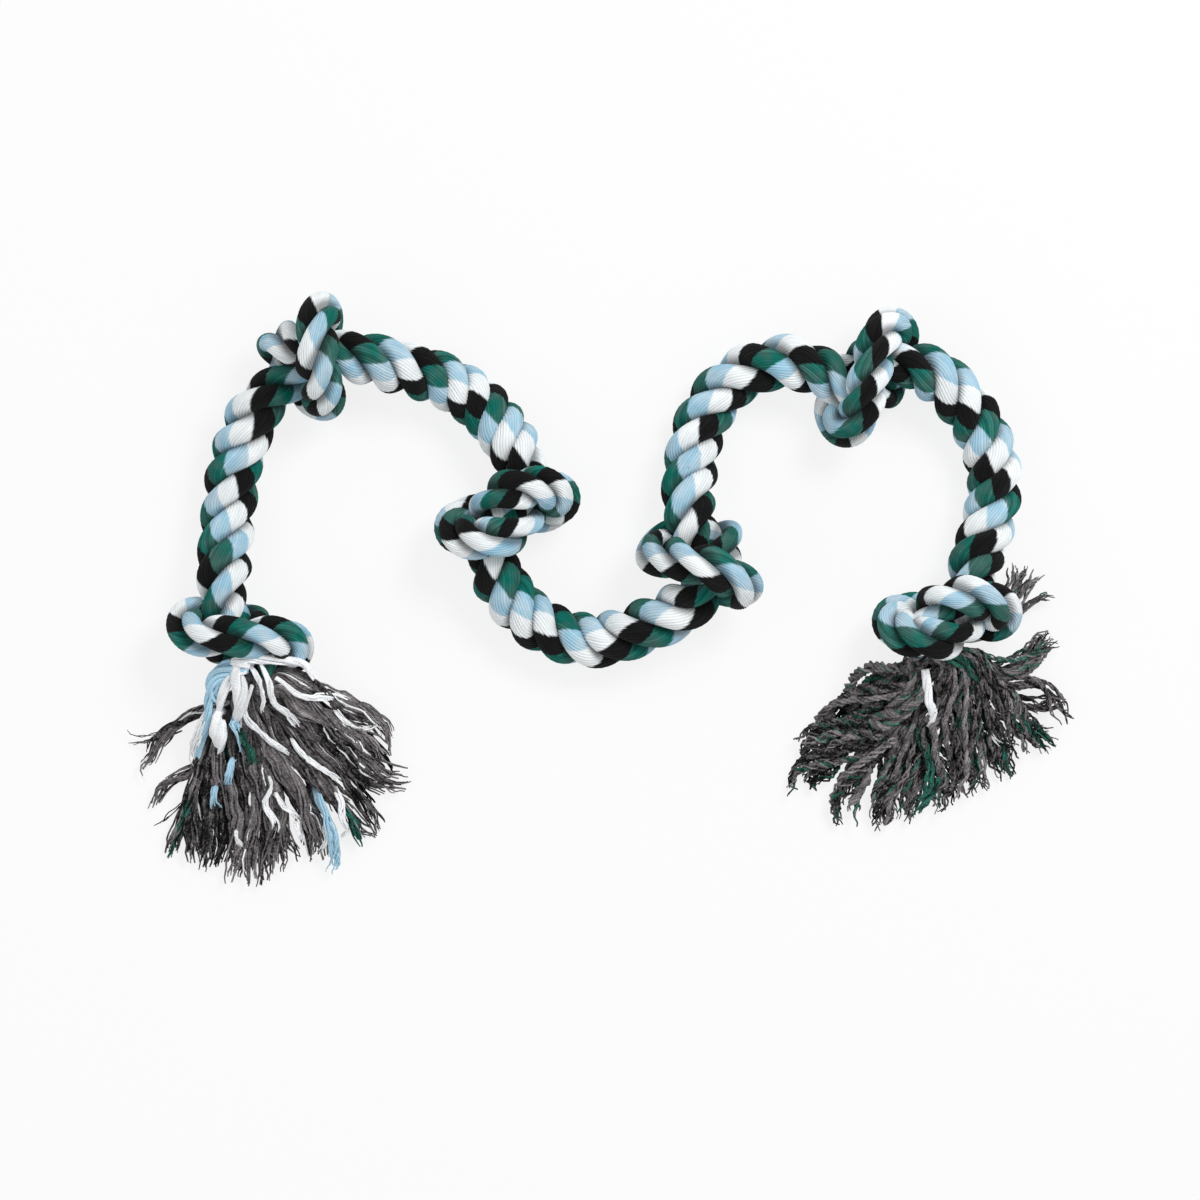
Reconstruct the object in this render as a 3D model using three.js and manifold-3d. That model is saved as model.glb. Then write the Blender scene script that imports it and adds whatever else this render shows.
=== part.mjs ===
// Knotted rope dog toy: one thick laid cotton rope with six overhand knots, whose two ends are frayed into tassels.
// Millimetres, +Z up. The toy lies on the plane z = 0, with its tassels at the -Y side.
// Seen from above, +X runs from the left tassel to the right one, and the origin is under the middle of the outline.
import * as THREE from "three";
import { mergeVertices } from "three/addons/utils/BufferGeometryUtils.js";
import Module from "manifold-3d";

const wasm = await Module();
wasm.setup();

// Rope
const rope_diameter = 31.5;
const knotted_diameter = 19;
const knot_pitch = 21;
const flare_length = 14;
const piece_gap = 0.35;
const rest_cut_share = 0.1;

// Facets
const route_divisions = 60;
const knot_steps = 44;
const knot_sides = 8;
const span_step_count = 9;
const span_sides = 10;
const root_steps = 2;
const gap_sample = 1.5;
const next_turn_share = 1.5;

// Tassels
const tassel_length = 120;
const root_length = 17;
const root_flare_diameter = 27;
const lock_root_diameter = 10;
const lock_belly_diameter = 12.5;
const lock_tip_diameter = 5.5;
const lock_start_share = 0.55;
const lock_belly_share = 0.4;
const upper_lock_lift = 9;
const lock_wave = 2.5;
const floor_clearance = 0.4;
const lock_steps = 6;
const lock_sides = 5;

// Colours of the cotton yarns, as a knot, a free stretch and a frayed end show them from a distance
const knot_colour = 0x9db4bd;
const span_colour = 0x8aa7ac;
const tassel_colour = 0x5a5352;

// Half of a tight overhand knot, in knot pitches, from the middle of its front turn to its last turn's end.
// Across, along the rope's way, and towards the front. The other half is this one turned by half a turn.
const knot_half_shares = [
  [0, 0, 0.95],
  [0.55, 0.05, 0.92],
  [1.13, 0.15, 0.7],
  [1.45, 0.37, 0.2],
  [1.38, 0.61, -0.38],
  [0.95, 0.74, -0.82],
  [0.33, 0.71, -0.96],
  [-0.22, 0.48, -0.74],
  [-0.49, 0.09, -0.32],
  [-0.49, -0.45, 0],
];

// Where each knot lies, the way of the rope through it, how far it is rolled about that way,
// and how much it is drawn in across, along and towards the front.
const knots = [
  { at: [-205, -23], heading: 95, roll: 8, size_shares: [0.96, 0.93, 1] },
  { at: [-164, 135], heading: 22, roll: 68, size_shares: [0.97, 0.98, 0.98] },
  { at: [-52, 48], heading: -92, roll: 180, size_shares: [0.95, 0.97, 1] },
  { at: [58, 21], heading: 86, roll: -52, size_shares: [0.97, 0.95, 0.97] },
  { at: [155, 126], heading: -8, roll: 0, size_shares: [0.97, 1, 1] },
  { at: [200, -12], heading: -104, roll: 180, size_shares: [0.95, 0.95, 1] },
];

// Free stretches between the knots, from where the rope leaves a knot to where it enters the next one.
// The rope sags to the floor and rises again. Before the first knot and after the last one it frays.
const rope_start = [-194, -52, 26];
const span_points = [
  [[-215, 6, 29], [-214, 28, 21.5], [-212, 52, 17], [-208, 78, 19], [-192, 113, 28]],
  [[-137, 137, 41], [-112, 131, 28], [-88, 124, 18], [-66, 109, 18], [-45, 79, 26]],
  [[-60, 18, 26], [-48, -3, 20], [-30, -18, 16.8], [-3, -25, 18], [24, -18, 27], [54, -2, 38]],
  [[52, 50, 28], [53, 72, 20], [59, 99, 16.5], [77, 124, 17.5], [104, 135, 24], [126, 130, 27]],
  [[186, 131, 29], [205, 117, 22], [221, 94, 17], [228, 67, 17.5], [223, 38, 22], [215, 15, 27]],
];
const rope_end = [184, -42, 23];

// Points of a lock after its start: how far it has come, its wave to the side,
// and how much it keeps of its start's height and of an upper lock's lift.
const lock_point_shares = [
  [0.22, 0.5, 0.45, 1],
  [0.5, 1, 0.06, 1],
  [0.78, -1, 0, 0.8],
  [1, 0.5, 0, 0.6],
];

// Frayed ends. Each lock of yarns has a bearing in degrees, counted from the middle of the fan,
// and a reach as a share of the tassel's length. Upper locks lie on the others.
const tassels = [
  {
    heading: -90,
    lower_locks: [
      [-56, 0.69], [-46, 0.73], [-33, 0.8], [-24, 0.91], [-16, 0.93], [-8, 0.96], [0, 0.98], [7, 0.92],
      [14, 0.93], [21, 1], [29, 0.95], [37, 0.92], [46, 0.86], [54, 0.86], [62, 0.83], [70, 0.67],
    ],
    upper_locks: [[-30, 0.6], [-16, 0.72], [-3, 0.78], [9, 0.66], [22, 0.76], [35, 0.7], [48, 0.64]],
  },
  {
    heading: -90,
    lower_locks: [
      [-66, 0.72], [-56, 0.82], [-46, 0.84], [-37, 0.84], [-28, 0.88], [-18, 0.83], [-9, 0.76], [0, 0.7],
      [9, 0.66], [19, 0.64], [29, 0.62], [40, 0.58], [50, 0.62], [60, 0.67], [71, 0.68], [84, 0.63], [97, 0.6],
    ],
    upper_locks: [[-46, 0.58], [-30, 0.62], [-14, 0.6], [2, 0.52], [18, 0.48], [36, 0.46], [60, 0.48]],
  },
];

// The turns of a knot as points of the rope's route. Its lowest turn is pressed flat by the floor.
function knotPoints(knot) {
  const half = knot_half_shares.map((share) => new THREE.Vector3().fromArray(share));
  const other = half.slice(1).map((p) => new THREE.Vector3(-p.x, -p.y, p.z));
  const size = new THREE.Vector3().fromArray(knot.size_shares).multiplyScalar(knot_pitch);
  const place = new THREE.Matrix4()
    .makeTranslation(knot.at[0], knot.at[1], 0)
    .multiply(new THREE.Matrix4().makeRotationZ(THREE.MathUtils.degToRad(knot.heading - 90)))
    .multiply(new THREE.Matrix4().makeRotationY(THREE.MathUtils.degToRad(knot.roll)))
    .multiply(new THREE.Matrix4().makeScale(-size.x, size.y, size.z));
  const points = [...half.reverse(), ...other].map((p) => p.applyMatrix4(place));
  const lowest = Math.min(...points.map((p) => p.z));
  const rest = knotted_diameter * (0.5 - rest_cut_share);
  return points.map((p) => p.setZ(p.z - lowest + rest));
}

// The whole rope's route, with the distance along it at which each knot starts and ends.
const route_points = [new THREE.Vector3().fromArray(rope_start)];
const knot_ends = [];
knots.forEach((knot, i) => {
  const way_out = span_points[i] ?? [rope_end];
  const first = route_points.length - 1;
  route_points.push(...knotPoints(knot));
  knot_ends.push([first, route_points.length]);
  route_points.push(...way_out.map((p) => new THREE.Vector3().fromArray(p)));
});
const route = new THREE.CatmullRomCurve3(route_points, false, "centripetal");
const divisions = (route_points.length - 1) * route_divisions;
route.arcLengthDivisions = divisions;
const distances = route.getLengths(divisions);
const knot_stretches = knot_ends.map((ends) => ends.map((index) => distances[index * route_divisions]));
const route_length = route.getLength();

// A stretch of the route between two distances along it.
class Stretch extends THREE.Curve {
  constructor(from, to) {
    super();
    this.from = from;
    this.to = to;
  }

  getPoint(t, target = new THREE.Vector3()) {
    const distance = THREE.MathUtils.lerp(this.from, this.to, t);
    return route.getPointAt(distance / route_length, target);
  }
}

// Radius of the rope's free part, which swells from the tight size that it leaves a knot with.
function freeRadius(from_end) {
  const swell = THREE.MathUtils.smoothstep(from_end, 0, flare_length);
  return THREE.MathUtils.lerp(knotted_diameter, rope_diameter, swell) / 2;
}

// A closed tube of round section along a curve. radiusAt gives its radius at a share of the way.
function cord(curve, radiusAt, steps, sides) {
  const frames = curve.computeFrenetFrames(steps, false);
  const centres = curve.getSpacedPoints(steps);
  const vertices = [];
  centres.forEach((centre, i) => {
    for (let side = 0; side < sides; side++) {
      const angle = (2 * Math.PI * side) / sides;
      const offset = frames.normals[i].clone().multiplyScalar(Math.cos(angle));
      offset.addScaledVector(frames.binormals[i], Math.sin(angle));
      vertices.push(centre.clone().addScaledVector(offset, radiusAt(i / steps)));
    }
  });
  const start = vertices.push(centres[0]) - 1;
  const end = vertices.push(centres[steps]) - 1;
  const faces = [];
  for (let side = 0; side < sides; side++) {
    const next = (side + 1) % sides;
    const last = steps * sides;
    faces.push(start, next, side);
    faces.push(end, last + side, last + next);
    for (let ring = 0; ring < last; ring += sides) {
      faces.push(ring + side, ring + next, ring + sides + side);
      faces.push(ring + next, ring + sides + next, ring + sides + side);
    }
  }
  const geometry = new THREE.BufferGeometry().setFromPoints(vertices);
  geometry.setIndex(faces);
  return geometry;
}

// A geometry as a solid that can be joined and cut, and back.
function solid(geometry) {
  const bare = geometry.clone();
  bare.deleteAttribute("normal");
  bare.deleteAttribute("uv");
  const merged = mergeVertices(bare);
  const vertProperties = new Float32Array(merged.attributes.position.array);
  const triVerts = new Uint32Array(merged.index.array);
  return new wasm.Manifold(new wasm.Mesh({ numProp: 3, vertProperties, triVerts }));
}

function geometryOf(body) {
  const mesh = body.getMesh();
  const geometry = new THREE.BufferGeometry();
  geometry.setAttribute("position", new THREE.BufferAttribute(mesh.vertProperties, mesh.numProp));
  geometry.setIndex(new THREE.BufferAttribute(mesh.triVerts, 1));
  return geometry;
}

// A knot, whose lowest turn is cut flat where it rests on the floor.
function knotGeometry([from, to]) {
  const turns = solid(cord(new Stretch(from, to), () => knotted_diameter / 2, knot_steps, knot_sides));
  const box = new THREE.Box3().setFromPoints(new Stretch(from, to).getPoints(knot_steps));
  box.expandByScalar(knotted_diameter);
  const floor = new THREE.BoxGeometry(box.max.x - box.min.x, box.max.y - box.min.y, knotted_diameter);
  floor.translate((box.min.x + box.max.x) / 2, (box.min.y + box.max.y) / 2, -knotted_diameter / 2);
  return geometryOf(turns.subtract(solid(floor)));
}

// A free stretch, as thick as the rope and a little thinner where it leaves the knots.
function spanGeometry(from, to) {
  const length = to - from;
  const radiusAt = (share) => freeRadius(Math.min(share, 1 - share) * length);
  return cord(new Stretch(from, to), radiusAt, span_step_count, span_sides);
}

// One lock of yarns, from inside the root to its tip on the floor.
function lockGeometry(start, root, bearing, reach, lift) {
  const tip = root.clone().add(new THREE.Vector3(Math.cos(bearing), Math.sin(bearing), 0).multiplyScalar(reach));
  const side = new THREE.Vector3(start.y - tip.y, tip.x - start.x, 0).normalize();
  const { lerp } = THREE.MathUtils;
  const thicknessAt = (share) =>
    share < lock_belly_share
      ? lerp(lock_root_diameter, lock_belly_diameter, share / lock_belly_share)
      : lerp(lock_belly_diameter, lock_tip_diameter, (share - lock_belly_share) / (1 - lock_belly_share));
  const points = lock_point_shares.map(([along, wave, height_kept, lift_kept]) => {
    const rest = thicknessAt(along) / 2 + floor_clearance;
    const height = rest + (start.z - rest) * height_kept + lift * lift_kept;
    return start.clone().lerp(tip, along).setZ(height).addScaledVector(side, lock_wave * wave);
  });
  const curve = new THREE.CatmullRomCurve3([start, ...points]);
  return cord(curve, (share) => thicknessAt(share) / 2, lock_steps, lock_sides);
}

// A frayed end: a short swelling root next to the knot, and the locks that fan out of it.
function tasselGeometry(tassel, root, way) {
  const from = root.clone().addScaledVector(way, piece_gap);
  const to = root.clone().addScaledVector(way, root_length);
  const radiusAt = (share) => THREE.MathUtils.lerp(knotted_diameter, root_flare_diameter, share) / 2;
  const pieces = [solid(cord(new THREE.LineCurve3(from, to), radiusAt, root_steps, span_sides))];
  const start = from.clone().lerp(to, lock_start_share);
  const fan = THREE.MathUtils.degToRad(tassel.heading);
  const addLocks = (locks, lift) =>
    locks.forEach(([bearing, reach_share]) => {
      const angle = fan + THREE.MathUtils.degToRad(bearing);
      pieces.push(solid(lockGeometry(start, root, angle, reach_share * tassel_length, lift)));
    });
  addLocks(tassel.lower_locks, 0);
  addLocks(tassel.upper_locks, upper_lock_lift);
  return geometryOf(wasm.Manifold.union(pieces));
}

// The least distance between turns of a knot that lie side by side, less the rope's size there.
function leastGap([from, to]) {
  const count = Math.round((to - from) / gap_sample);
  const points = new Stretch(from, to).getPoints(count);
  const apart = Math.ceil((next_turn_share * knotted_diameter) / gap_sample);
  let least = Infinity;
  for (let i = 0; i < points.length; i++) {
    for (let j = i + apart; j < points.length; j++) {
      least = Math.min(least, points[i].distanceTo(points[j]));
    }
  }
  return least - knotted_diameter;
}

const toy = new THREE.Group();

function add(name, geometry, colour) {
  const material = new THREE.MeshStandardMaterial({ color: colour, roughness: 0.9, metalness: 0 });
  const mesh = new THREE.Mesh(geometry, material);
  mesh.name = name;
  toy.add(mesh);
}

knot_stretches.forEach((stretch, i) => {
  add(`knot_${i + 1}`, knotGeometry(stretch), knot_colour);
  console.log(`knot_${i + 1}: rope ${(stretch[1] - stretch[0]).toFixed(0)} mm, least gap to itself`,
    `${leastGap(stretch).toFixed(2)} mm`);
});

for (let i = 0; i < span_points.length; i++) {
  const from = knot_stretches[i][1] + piece_gap;
  const to = knot_stretches[i + 1][0] - piece_gap;
  add(`rope_span_${i + 1}`, spanGeometry(from, to), span_colour);
  console.log(`rope_span_${i + 1}: ${(to - from).toFixed(0)} mm`);
}

add("left_tassel", tasselGeometry(tassels[0], route.getPoint(0), route.getTangent(0).negate()), tassel_colour);
add("right_tassel", tasselGeometry(tassels[1], route.getPoint(1), route.getTangent(1)), tassel_colour);
console.log(`rope between the tassels: ${route_length.toFixed(0)} mm`);

export default toy;
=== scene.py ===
# %% [markdown]
# # Knotted rope dog toy
# A thick cotton rope, laid from three strands, has six tight overhand knots, and both of its ends are
# frayed into tassels. The rope's colours come from its yarns: each strand holds green, light blue, white
# and black ones. Everything here follows one curve, the middle of the rope, so that curve is worked out
# first. The strands, the yarns' ridges and the colours are then laid along it by rule.

# %% The frame
import functools
import math

import bpy
import numpy as np
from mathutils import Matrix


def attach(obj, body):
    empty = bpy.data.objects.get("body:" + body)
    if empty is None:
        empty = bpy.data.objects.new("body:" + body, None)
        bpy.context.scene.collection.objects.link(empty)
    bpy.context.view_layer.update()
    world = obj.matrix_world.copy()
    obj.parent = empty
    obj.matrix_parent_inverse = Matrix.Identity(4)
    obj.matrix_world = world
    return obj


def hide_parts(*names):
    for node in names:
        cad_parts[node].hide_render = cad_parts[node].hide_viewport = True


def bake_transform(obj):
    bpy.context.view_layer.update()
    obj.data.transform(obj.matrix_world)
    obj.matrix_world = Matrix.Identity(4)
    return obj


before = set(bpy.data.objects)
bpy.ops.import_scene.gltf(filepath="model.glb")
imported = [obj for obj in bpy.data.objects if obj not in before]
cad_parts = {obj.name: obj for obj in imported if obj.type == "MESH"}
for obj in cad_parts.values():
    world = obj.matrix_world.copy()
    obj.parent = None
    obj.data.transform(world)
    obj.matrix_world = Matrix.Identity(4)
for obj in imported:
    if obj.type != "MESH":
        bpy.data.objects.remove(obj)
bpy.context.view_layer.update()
MM = 0.001

# %% [markdown]
# ## Camera
# The toy was photographed from straight above with a long lens. A camera looks down its own -Z axis, so one
# that isn't turned at all, high above the toy, gives that view, with +Y at the top of the picture. The lens
# follows from the width of floor that the picture shows.

# %% Camera
CAMERA_HEIGHT = 4.0
VIEW_CENTRE = (1.15 * MM, -1.7 * MM)
# The picture is this wide at the height where most of the rope's middle lies
VIEW_WIDTH, VIEW_LEVEL = 690 * MM, 16 * MM
SENSOR_MM = 36.0

camera = bpy.data.objects.new("camera", bpy.data.cameras.new("camera"))
bpy.context.scene.collection.objects.link(camera)
bpy.context.scene.camera = camera
camera.location = (*VIEW_CENTRE, CAMERA_HEIGHT)
camera.data.sensor_width = SENSOR_MM
camera.data.lens = SENSOR_MM * (CAMERA_HEIGHT - VIEW_LEVEL) / VIEW_WIDTH
print(f"lens {camera.data.lens:.0f} mm")

# %% [markdown]
# ## Way of the rope
# The toy is one rope from tassel to tassel. It runs through six overhand knots, and between them it sags to
# the floor. All knots are tied alike, so one half of a knot is written down, in knot pitches, and turned
# into the other half. Each knot is then rolled and turned to lie as it does on the floor. A smooth curve of
# the centripetal kind joins the points. It passes through every point, and never loops where two are close.

# %% Points of the route
ROPE_DIAMETER = 31.5 * MM
KNOT_PITCH = 21 * MM
KNOT_LOWEST = 7.6 * MM
# Half of a knot: across, along the rope's way, and towards the front
KNOT_HALF = np.array([
    [0, 0, 0.95], [0.55, 0.05, 0.92], [1.13, 0.15, 0.7], [1.45, 0.37, 0.2], [1.38, 0.61, -0.38],
    [0.95, 0.74, -0.82], [0.33, 0.71, -0.96], [-0.22, 0.48, -0.74], [-0.49, 0.09, -0.32], [-0.49, -0.45, 0],
])
# Each knot's place in millimetres, the rope's way through it, its roll in degrees, and how it is drawn in
KNOTS = [
    ((-205, -23), 95, 8, (0.96, 0.93, 1)),
    ((-164, 135), 22, 68, (0.97, 0.98, 0.98)),
    ((-52, 48), -92, 180, (0.95, 0.97, 1)),
    ((58, 21), 86, -52, (0.97, 0.95, 0.97)),
    ((155, 126), -8, 0, (0.97, 1, 1)),
    ((200, -12), -104, 180, (0.95, 0.95, 1)),
]
# The rope's start and end and its points between the knots, in millimetres
ROPE_START = (-194, -52, 26)
SPANS = [
    [(-215, 6, 29), (-214, 28, 21.5), (-212, 52, 17), (-208, 78, 19), (-192, 113, 28)],
    [(-137, 137, 41), (-112, 131, 28), (-88, 124, 18), (-66, 109, 18), (-45, 79, 26)],
    [(-60, 18, 26), (-48, -3, 20), (-30, -18, 16.8), (-3, -25, 18), (24, -18, 27), (54, -2, 38)],
    [(52, 50, 28), (53, 72, 20), (59, 99, 16.5), (77, 124, 17.5), (104, 135, 24), (126, 130, 27)],
    [(186, 131, 29), (205, 117, 22), (221, 94, 17), (228, 67, 17.5), (223, 38, 22), (215, 15, 27)],
]
ROPE_END = (184, -42, 23)


def turned(points, axis, degrees):
    """The points turned about one of the main axes through the origin."""
    first, second = [(1, 2), (2, 0), (0, 1)]["xyz".index(axis)]
    angle = math.radians(degrees)
    made = points.copy()
    made[:, first] = points[:, first] * math.cos(angle) - points[:, second] * math.sin(angle)
    made[:, second] = points[:, first] * math.sin(angle) + points[:, second] * math.cos(angle)
    return made


def knot_points(place, way, roll, drawn_in):
    """One knot's points, its lowest one at the height where the CAD model has it."""
    # Turned half round, the same points make the knot's other half. Mirrored, the knot gets its hand
    other = KNOT_HALF[1:] * (-1, -1, 1)
    points = np.vstack([KNOT_HALF[::-1], other]) * np.array(drawn_in) * KNOT_PITCH * (-1, 1, 1)
    # The half is written along +Y, and the way is counted from +X
    points = turned(turned(points, "y", roll), "z", way - 90)
    points[:, 2] += KNOT_LOWEST - points[:, 2].min()
    points[:, :2] += np.array(place) * MM
    return points


stretches = [np.array([ROPE_START]) * MM]
for number, knot in enumerate(KNOTS):
    stretches.append(knot_points(*knot))
    stretches.append(np.array(SPANS[number] if number < len(SPANS) else [ROPE_END]) * MM)
route_points = np.vstack(stretches)
stretch_ends = np.cumsum([len(points) for points in stretches])
print(len(route_points), "points of the route")

# %% Curve through the points
# Steps from each point of the route to the next, and the distance between the points of the finished line
CURVE_STEPS, STEP = 60, 1.8 * MM


def spline(points, steps):
    """Points of a smooth centripetal curve, the given number of steps from each point to the next."""
    before, after = 2 * points[0] - points[1], 2 * points[-1] - points[-2]
    row = np.vstack([before, points, after])
    share = np.linspace(0, 1, steps, endpoint=False)[:, None]
    made = []
    for a, b, c, d in zip(row, row[1:], row[2:], row[3:]):
        ab, bc, cd = (math.sqrt(np.linalg.norm(q - p)) for p, q in ((a, b), (b, c), (c, d)))
        leaving = bc * ((b - a) / ab - (c - a) / (ab + bc) + (c - b) / bc)
        arriving = bc * ((c - b) / bc - (d - b) / (bc + cd) + (d - c) / cd)
        cubic = 2 * b - 2 * c + leaving + arriving
        square = 3 * c - 3 * b - 2 * leaving - arriving
        made.append(b + share * leaving + share**2 * square + share**3 * cubic)
    return np.vstack([*made, points[-1]])


def lengths_along(points):
    """The distance from the first point to each point."""
    return np.concatenate([[0], np.cumsum(np.linalg.norm(np.diff(points, axis=0), axis=1))])


fine = spline(route_points, CURVE_STEPS)
fine_along = lengths_along(fine)
along = np.linspace(0, fine_along[-1], round(fine_along[-1] / STEP) + 1)
centre = np.stack([np.interp(along, fine_along, fine[:, k]) for k in range(3)], axis=1)
# Where each knot starts and ends, in distance along the rope
knot_from = fine_along[[(stretch_ends[2 * k] - 1) * CURVE_STEPS for k in range(len(KNOTS))]]
knot_to = fine_along[[stretch_ends[2 * k + 1] * CURVE_STEPS for k in range(len(KNOTS))]]
print(f"rope between the tassels: {along[-1] / MM:.0f} mm; knots hold {(knot_to - knot_from) / MM} mm")

# %% [markdown]
# ## Thickness of the rope
# A tight knot squeezes the rope to about three quarters of its free thickness, and it swells again as it
# leaves the knot. The lowest turns of a knot would sink into the floor at that thickness, so the route
# rises there: a smooth maximum leaves the rest of it untouched.

# %% Radius along the rope
KNOTTED_RADIUS = 12.2 * MM
# The rope swells from this far inside a knot to this far outside it
SWELL_FROM, SWELL_TO = -20 * MM, 12 * MM
# The middle of a turn that rests on the floor is at this share of its radius, and its rise is blended in
REST_SHARE, RISE_BLEND = 0.9, 5 * MM


def smooth_step(value, low, high):
    """0 below the low value and 1 above the high one, with a smooth rise between them."""
    share = np.clip((value - low) / (high - low), 0, 1)
    return share * share * (3 - 2 * share)


def smooth_max(a, b, blend):
    """The larger of two values, rounded where they meet."""
    return (a + b + np.sqrt((a - b) ** 2 + blend**2)) / 2


outside = np.min([np.maximum(start - along, along - end) for start, end in zip(knot_from, knot_to)], axis=0)
swell = smooth_step(outside, SWELL_FROM, SWELL_TO)
radius = KNOTTED_RADIUS + (ROPE_DIAMETER / 2 - KNOTTED_RADIUS) * swell
risen = smooth_max(centre[:, 2], radius * REST_SHARE, RISE_BLEND)
centre[:, 2] += (risen - centre[:, 2]) * (1 - swell)
print(f"radius from {radius.min() / MM:.1f} to {radius.max() / MM:.1f} mm")

# %% Directions along the rope
def directions(points):
    """The way of a line at each point, and two directions across it that turn as little as can be."""
    way = np.gradient(points, axis=0)
    way /= np.linalg.norm(way, axis=1)[:, None]
    up = np.zeros_like(way)
    start = np.array([0.0, 0.0, 1.0])
    for k, ahead in enumerate(way):
        start = start - ahead * start.dot(ahead)
        up[k] = start / np.linalg.norm(start)
        start = up[k]
    return way, up, np.cross(way, up)


way, up, side = directions(centre)
# The angle at which the sky lies, counted from up towards side
sky = np.unwrap(np.arctan2(side[:, 2], up[:, 2]))

# %% [markdown]
# ## Lay of the strands
# Three strands wind round each other to the right, and from above each one shows as a row of slanted
# lenses. The lenses were counted and placed along every free stretch of the real rope, with the yarns that
# each one shows in its middle. A strand's yarns are twisted the other way round, so they run straight along
# the rope, and their colours wander across the lenses in a fixed step. Inside a knot only the lenses on its
# upper side can be counted, and between them the twist goes on evenly.

# %% Lenses that can be seen
STRANDS, COLOURS = 3, 4
# For each lens: its distance in millimetres from the knot before it, seen from above, and the colour in its
# middle, where 0 to 1 is green, 1 to 2 light blue, 2 to 3 white and 3 to 4 black
LENSES = [
    [(-2, 1.5), (15.3, 0.54), (35, 1.82), (56.2, 2.63), (74.8, 1.46), (93.2, 2.66), (114, 3.55)],
    [(6.3, 0.88), (24.5, 2.42), (42.6, 0.47), (58.9, 2.25), (74.8, 3.36), (87.7, 0.97), (101, 2.41),
     (114, 3.07)],
    [(-1.6, 2.78), (12.6, 0.86), (29, 1.8), (46.7, 2.75), (64.4, 1.42), (83.4, 2.53), (103, 3.34),
     (124.7, 2.32), (143.7, 3.9)],
    [(-9, 2.6), (7, 1.67), (25.9, 1.56), (45.5, 3.0), (64.9, 2.11), (86.2, 2.5), (108.5, 0.78), (131, 0.2)],
    [(-3, 3.9), (12.3, 1.97), (34, 3.1), (52.5, 1.1), (69, 2.8), (85.2, 3.7), (103, 1.87), (120, 3.67),
     (133.8, 0.7)],
]
# The same for the rows of lenses on top of each knot, with the distance along the rope from its start
KNOT_LENSES = [
    [[(45, 0.6)], [(116, 2.6), (149, 2.0), (178, 2.6)]],
    [[(100, 1.6), (123, 2.0), (146, 2.6)], [(210, 1.9), (231, 1.8)], [(264, 0.5)]],
    [[(30, 2.6), (50, 2.6), (72, 2.7), (93, 0.4), (112, 3.9)],
     [(167, 1.8), (188, 1.6), (207, 2.7), (227, 0.5), (245, 3.9)]],
    [[(38, 0.6), (58, 2.4)], [(92, 1.4)], [(126, 1.8), (153, 2.3), (179, 2.0)]],
    [[(16, 1.3)], [(76, 2.5), (102, 1.2), (129, 3.8), (149, 3.8), (168, 0.8)], [(197, 1.9)]],
    [[(26, 1.6), (47, 3.5), (70, 0.6), (93, 1.9), (112, 2.7)], [(197, 0.9), (218, 1.8), (238, 1.8)]],
]
LENS_TURN = 2 * math.pi / STRANDS
# The length of a lens where none was counted, and a strand's number of colours in one turn of the lay
KNOTTED_LENS, LAY_COLOURS = 22 * MM, 8.8
SMOOTHING = 5 * MM


def smoothed(values):
    """The values along the rope with their corners rounded."""
    reach = math.ceil(3 * SMOOTHING / STEP)
    weights = np.exp(-0.5 * (np.arange(-reach, reach + 1) * STEP / SMOOTHING) ** 2)
    slopes = values[1] - values[0], values[-1] - values[-2]
    steps = np.arange(1, reach + 1)
    row = np.concatenate([values[0] - slopes[0] * steps[::-1], values, values[-1] + slopes[1] * steps])
    return np.convolve(row, weights / weights.sum(), mode="valid")


def extended(places, values, slope):
    """Values known at some places, carried on evenly between them and, with the slope given, past them."""
    places = np.concatenate([[0], places, [along[-1]]])
    first, last = values[0] - slope * places[1], values[-1] + slope * (along[-1] - places[-2])
    values = np.concatenate([[first], values, [last]])
    return smoothed(np.interp(along, places, values))


seen_length = lengths_along(centre * (1, 1, 0))
rows = []
for start, table in zip(knot_to, LENSES):
    seen = np.interp(start, along, seen_length) + np.array([distance for distance, colour in table]) * MM
    rows.append((np.interp(seen, seen_length, along), table))
for start, tables in zip(knot_from, KNOT_LENSES):
    rows += [(start + np.array([distance for distance, colour in table]) * MM, table) for table in tables]
rows.sort(key=lambda row: row[0][0])

nominal = LENS_TURN / KNOTTED_LENS
lens_number, lens_places, lens_turns, lens_colours = [], [], [], []
for places, table in rows:
    faces_sky = np.interp(places, along, sky)
    first = places[0] * nominal
    if lens_turns:
        first = lens_turns[-1] + (places[0] - lens_places[-1]) * nominal - faces_sky[0]
    numbers = round(first / LENS_TURN) + np.arange(len(places))
    lens_number += list(numbers)
    lens_places += list(places)
    lens_turns += list(numbers * LENS_TURN + faces_sky)
    lens_colours += [colour for distance, colour in table]
turn = extended(np.array(lens_places), np.array(lens_turns), nominal)
lengths = 2 * math.pi / np.gradient(turn, along) / MM
turns = turn[-1] / 2 / math.pi
print(f"the strands turn {turns:.1f} times, once in {lengths.min():.0f} to {lengths.max():.0f} mm")

# %% Colours in the middle of each strand
crown_colours = []
for strand in range(STRANDS):
    own = [k for k, number in enumerate(lens_number) if number % STRANDS == strand]
    places, values = [], []
    for k in own:
        value = lens_colours[k]
        if values:
            turns = np.diff(np.interp([places[-1], lens_places[k]], along, turn))[0] / 2 / math.pi
            expected = values[-1] + LAY_COLOURS * turns
            value += COLOURS * round((expected - value) / COLOURS)
        places.append(lens_places[k])
        values.append(value)
    crown_colours.append(extended(np.array(places), np.array(values), LAY_COLOURS * nominal / 2 / math.pi))
print("colours along each strand:", [round(values[-1] - values[0]) for values in crown_colours])

# %% [markdown]
# ## Nodes
# Node trees for shapes and for materials are both built here in the script. One small function adds a node,
# sets its properties, and fills or links its inputs in their order. It returns an output, so that calls can
# be nested as in a formula. The kind of a Math node is given together with its operation, once for numbers
# and once for vectors.

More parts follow.
